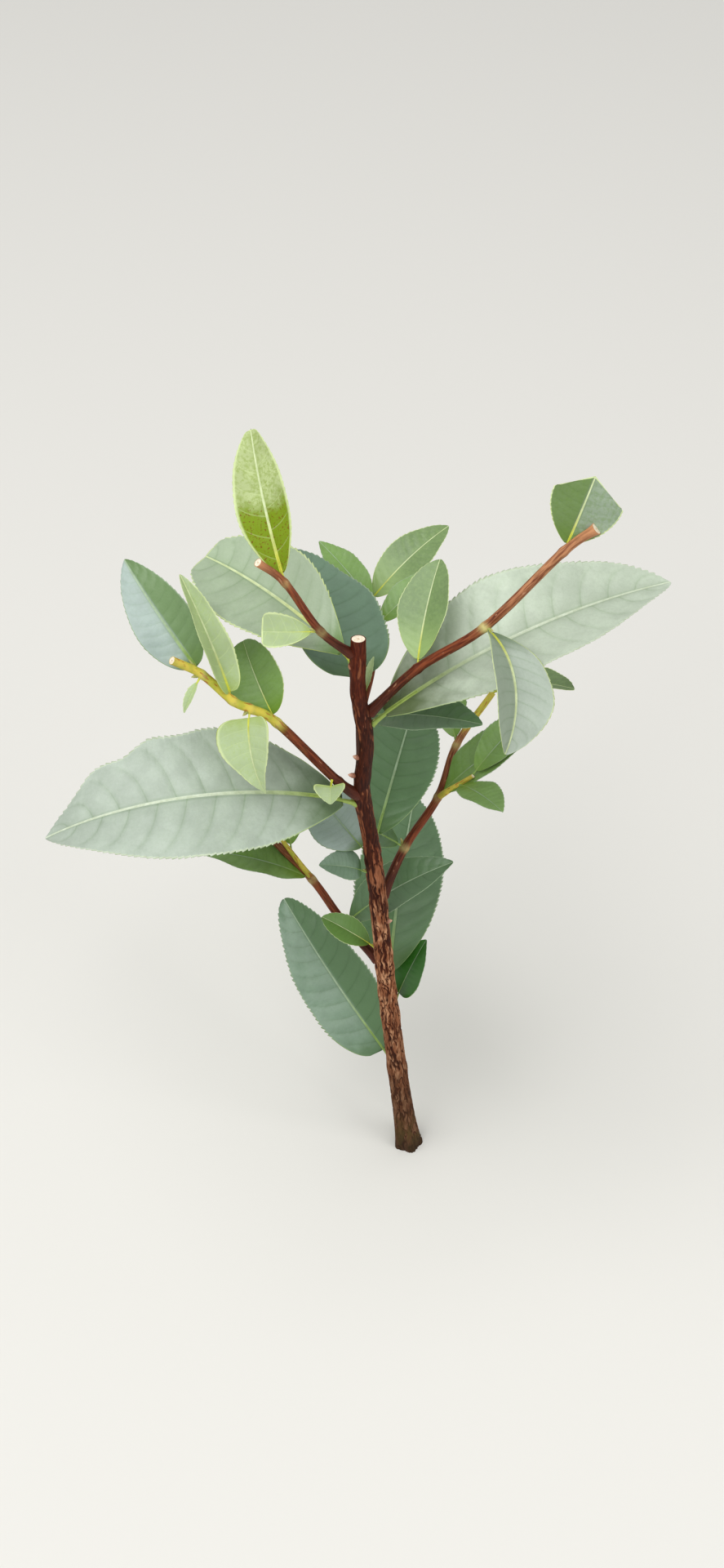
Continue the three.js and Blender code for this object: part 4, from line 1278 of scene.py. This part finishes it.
LINE_FINISHES = {
    age: [
        leaf_line_finish(f"{age}_midrib", *RIB_COLOURS[age], RIB_ROUGHNESS),
        leaf_line_finish(f"{age}_margin", *EDGE_COLOURS[age], EDGE_ROUGHNESS),
    ]
    for age in RIB_COLOURS
}
LEAF_FINISHES = {
    tone: [
        leaf_flesh_finish(tone, "face", colour, FACE_ROUGHNESS),
        leaf_flesh_finish(tone, "underside", underside, UNDERSIDE_ROUGHNESS),
    ]
    for tone, (colour, _, underside, *_) in TONES.items()
}

for number, (name, spec) in enumerate(STEM_LEAVES.items()):
    chance = np.random.default_rng(SEED + number)
    node_height = NODE_HEIGHTS[name]
    clear = stem_radius(node_height) + JOINT_GAP
    parts = leaf_parts(spec, stem_axis(node_height), chance, clear, on_stem=True)
    grown = join_parts(f"{name}_grown", parts)
    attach(grown, "root")
    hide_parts(name)

# The shoots' leaves
# Tender leaves of this year's growth, one or two at a joint of a shoot and a pair on a side
# twig, thin, grey-green to yellow-green and shallowly toothed. Three have been shorn across.
# They are one piece for each shoot, and one tiny first leaf hangs from a limb by itself.
for number, shoot in enumerate(shoots):
    chance = np.random.default_rng(SEED * 2 + number)
    parts = []
    for spec in shoot["leaves"]:
        parts += leaf_parts(spec, shoot["points"][spec["node"]], chance)
    for twig in shoot.get("twigs", []):
        place = side_twig_path(twig, shoot["points"][twig["node"]])
        for hand, share in GROWTH["twig_leaf_places"].items():
            heading = twig["heading"] + GROWTH["twig_leaf_angle"] * hand
            length = twig["leaf_length"]
            width = length * GROWTH["leaf_ratio"]
            spec = leaf(heading, GROWTH["twig_leaf_rise"], length, width, tone="green")
            parts += leaf_parts(spec, place(share), chance)
    leaves = join_parts(f"leaves_{shoot['name']}", parts)
    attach(leaves, "root")
    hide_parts(f"foliage_{shoot['name']}")
    if "limb_leaf" in shoot:
        spec = shoot["limb_leaf"]
        limb_radius = shoot["radius"] + (shoot["tip_radius"] - shoot["radius"]) * spec["share"]
        parts = leaf_parts(spec, shoot["place"](spec["share"]), chance, limb_radius + JOINT_GAP)
        first_leaf = join_parts(f"{spec['name']}_grown", parts)
        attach(first_leaf, "root")
        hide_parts(spec["name"])

# The buds
# A small pointed bud wrapped in two scales sits in the axil of nearly every leaf, green and
# a little downy. Three that dried up on the bare stem are pinkish brown. They are joined to
# one piece for the stem and one for each shoot.
BUD_LENGTH = 0.0032
BUD_RADIUS = 0.00085
BUD_SEAT = 0.75
STEM_BUDS = [
    {"height": 0.147, "heading": -25, "rise": 40},
    {"height": 0.236, "heading": 205, "rise": 40},
    {"height": 0.2275, "heading": 200, "rise": 30},
]
AXIL_BUD_LIFT = 0.0022
AXIL_BUD_RISE = 55
AXIL_BUD_SIZE = 0.7
SHOOT_BUD_SIZE = 0.75
BUD_SIDES = 18
BUD_RINGS = 26
# A bud's outline: how much of its round foot is missing, where it is widest, how full and how blunt
BUD_FOOT = 0.16
BUD_WIDEST = 0.9
BUD_FULLNESS = 0.8
BUD_BLUNTNESS = 0.03
SCALE_STEP = 0.12
SCALE_EDGES = (0.38, 0.66)
SCALE_EDGE_REACH = 0.02
SCALE_SLANT = 0.14
BUD_COLOURS = ((140, 154, 66), (176, 172, 110), (132, 98, 50))
DRY_BUD_COLOURS = ((150, 92, 68), (206, 156, 132), (104, 56, 40))
DOWN_COLOUR = (206, 206, 160)


def bud_finish(name, low, tip, edge):
    """A bud's skin, from its low part's colour to its tip's, and darker by its scales' edges."""
    finish, tree, shader = new_finish(name, linear(*low), 0.6)
    parts = add_node(tree, "SeparateXYZ", Vector=marked(tree, "lay", "Vector"))
    along, from_edge = parts.outputs[0], parts.outputs[1]
    down = grained_noise(tree, object_place(tree), 2600, 3)
    skin = blended(tree, between(tree, along, 0.3, 1.0), linear(*low), linear(*tip))
    skin = blended(tree, between(tree, from_edge, 0.0, 0.06, 0.5, 0), skin, linear(*edge))
    skin = blended(tree, between(tree, down, 0.55, 0.7, 0, 0.4), skin, linear(*DOWN_COLOUR))
    tree.links.new(skin, shader.inputs["Base Color"])
    roughen(tree, shader, down, 0.0001, 0.6)
    return finish


def scale_edges(turn):
    """How far along a bud each of its scales ends, at a turn round it."""
    return [
        edge + SCALE_SLANT * np.cos(turn + number * math.pi / 2) for number, edge in enumerate(SCALE_EDGES)
    ]


def bud_part(finish, middle, line, size=1.0, drawn_out=1.0):
    """A bud about its middle, along a line, with one scale slipped over the other."""
    half = line * BUD_LENGTH * size * drawn_out / 2

    def radius_at(share, turn):
        rounding = np.clip(BUD_FOOT + (1 - BUD_FOOT) * share, 0, 1) ** BUD_WIDEST
        swell = np.sin(np.pi * rounding) ** BUD_FULLNESS + BUD_BLUNTNESS
        for edge in scale_edges(turn):
            step = SCALE_STEP * soft_step(edge - share, -SCALE_EDGE_REACH, SCALE_EDGE_REACH)
            swell = swell * (1 + step)
        return BUD_RADIUS * size * swell / (1 + SCALE_STEP)

    ends = np.array([middle - half, middle + half])
    rows = tube_rows(path_through(ends), radius_at, BUD_SIDES, BUD_RINGS)
    share = np.linspace(0, 1, BUD_RINGS)[:, None]
    turn = np.arange(BUD_SIDES) * 2 * math.pi / BUD_SIDES
    from_edge = np.min([np.abs(edge - share) for edge in scale_edges(turn)], axis=0)
    lay = np.stack([share + 0 * from_edge, from_edge, 0 * from_edge], axis=-1)
    return {"rows": rows, "lay": lay, "painted_shading": 0 * from_edge, "skins": 0, "cap": 0, "finishes": [finish]}


bud_scales = bud_finish("bud_scales", *BUD_COLOURS)
dry_scales = bud_finish("dry_scales", *DRY_BUD_COLOURS)
parts = []
for bud in STEM_BUDS:
    off_axis = stem_radius(bud["height"]) + BUD_LENGTH / 2
    line = direction(bud["heading"], bud["rise"])
    parts.append(bud_part(dry_scales, stem_axis(bud["height"]) + line * off_axis, line))
for name, spec in STEM_LEAVES.items():
    height = NODE_HEIGHTS[name] + AXIL_BUD_LIFT
    line = direction(spec["heading"], AXIL_BUD_RISE)
    bark = stem_axis(height) + direction(spec["heading"], 0) * stem_radius(height)
    parts.append(bud_part(bud_scales, bark + line * BUD_LENGTH / 4, line, AXIL_BUD_SIZE))
buds = join_parts("buds_main_stem", parts)
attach(buds, "root")
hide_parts("main_stem")

for shoot in shoots:
    parts = []
    for spec in shoot["leaves"]:
        _, heading, rise = shoot["internodes"][spec["node"] - 1]
        line = unit_vector(direction(spec["heading"], spec["rise"]) + direction(heading, rise))
        middle = shoot["points"][spec["node"]] + line * BUD_LENGTH * (BUD_SEAT + (spec["bud"] - 1) / 2)
        parts.append(bud_part(bud_scales, middle, line, SHOOT_BUD_SIZE, spec["bud"] / SHOOT_BUD_SIZE))
    buds = join_parts(f"buds_{shoot['name']}", parts)
    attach(buds, "root")
    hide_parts(f"foliage_{shoot['name']}")

# The studio
# A plain pale floor, lit by one wide soft light above the plant, in front and to the left,
# and a weaker one at the viewer's right, in an even pale room. The camera looks down at
# the photograph's angle.
FLOOR_SIZE = 12
FLOOR_COLOUR = (222, 220, 214)
FLOOR_ROUGHNESS = 0.85
CAMERA_PLACE = (-0.0196, -0.5142, 0.7828)
CAMERA_AIM = (-0.0196, 0, 0.224)
CAMERA_LENS = 49.9
CAMERA_NEAREST = 0.01
ROOM_COLOUR = (246, 247, 248)
ROOM_STRENGTH = 0.62
SOFTBOXES = {
    "sky_light": {"place": (-0.7, -0.5, 1.9), "size": 1.8, "power": 30},
    "side_light": {"place": (1.3, -0.7, 1.2), "size": 0.9, "power": 8},
}


def aim(thing, place, target):
    thing.location = place
    thing.rotation_euler = (Vector(target) - Vector(place)).to_track_quat("-Z", "Y").to_euler()


deselect_all()
bpy.ops.mesh.primitive_plane_add(size=FLOOR_SIZE)
floor = bpy.context.object
floor.name = "floor"
floor.data.materials.append(new_finish("floor", linear(*FLOOR_COLOUR), FLOOR_ROUGHNESS)[0])
for name, box in SOFTBOXES.items():
    lamp = bpy.data.lights.new(name, "AREA")
    lamp.size = box["size"]
    lamp.energy = box["power"]
    softbox = bpy.data.objects.new(name, lamp)
    bpy.context.collection.objects.link(softbox)
    aim(softbox, box["place"], CAMERA_AIM)
room = bpy.data.worlds.new("room")
room.use_nodes = True
walls = room.node_tree.nodes["Background"]
walls.inputs["Color"].default_value = linear(*ROOM_COLOUR)
walls.inputs["Strength"].default_value = ROOM_STRENGTH
bpy.context.scene.world = room
bpy.context.scene.view_settings.view_transform = "Standard"
lens = bpy.data.cameras.new("camera")
lens.lens = CAMERA_LENS
lens.clip_start = CAMERA_NEAREST
camera = bpy.data.objects.new("camera", lens)
bpy.context.collection.objects.link(camera)
aim(camera, CAMERA_PLACE, CAMERA_AIM)
bpy.context.scene.camera = camera
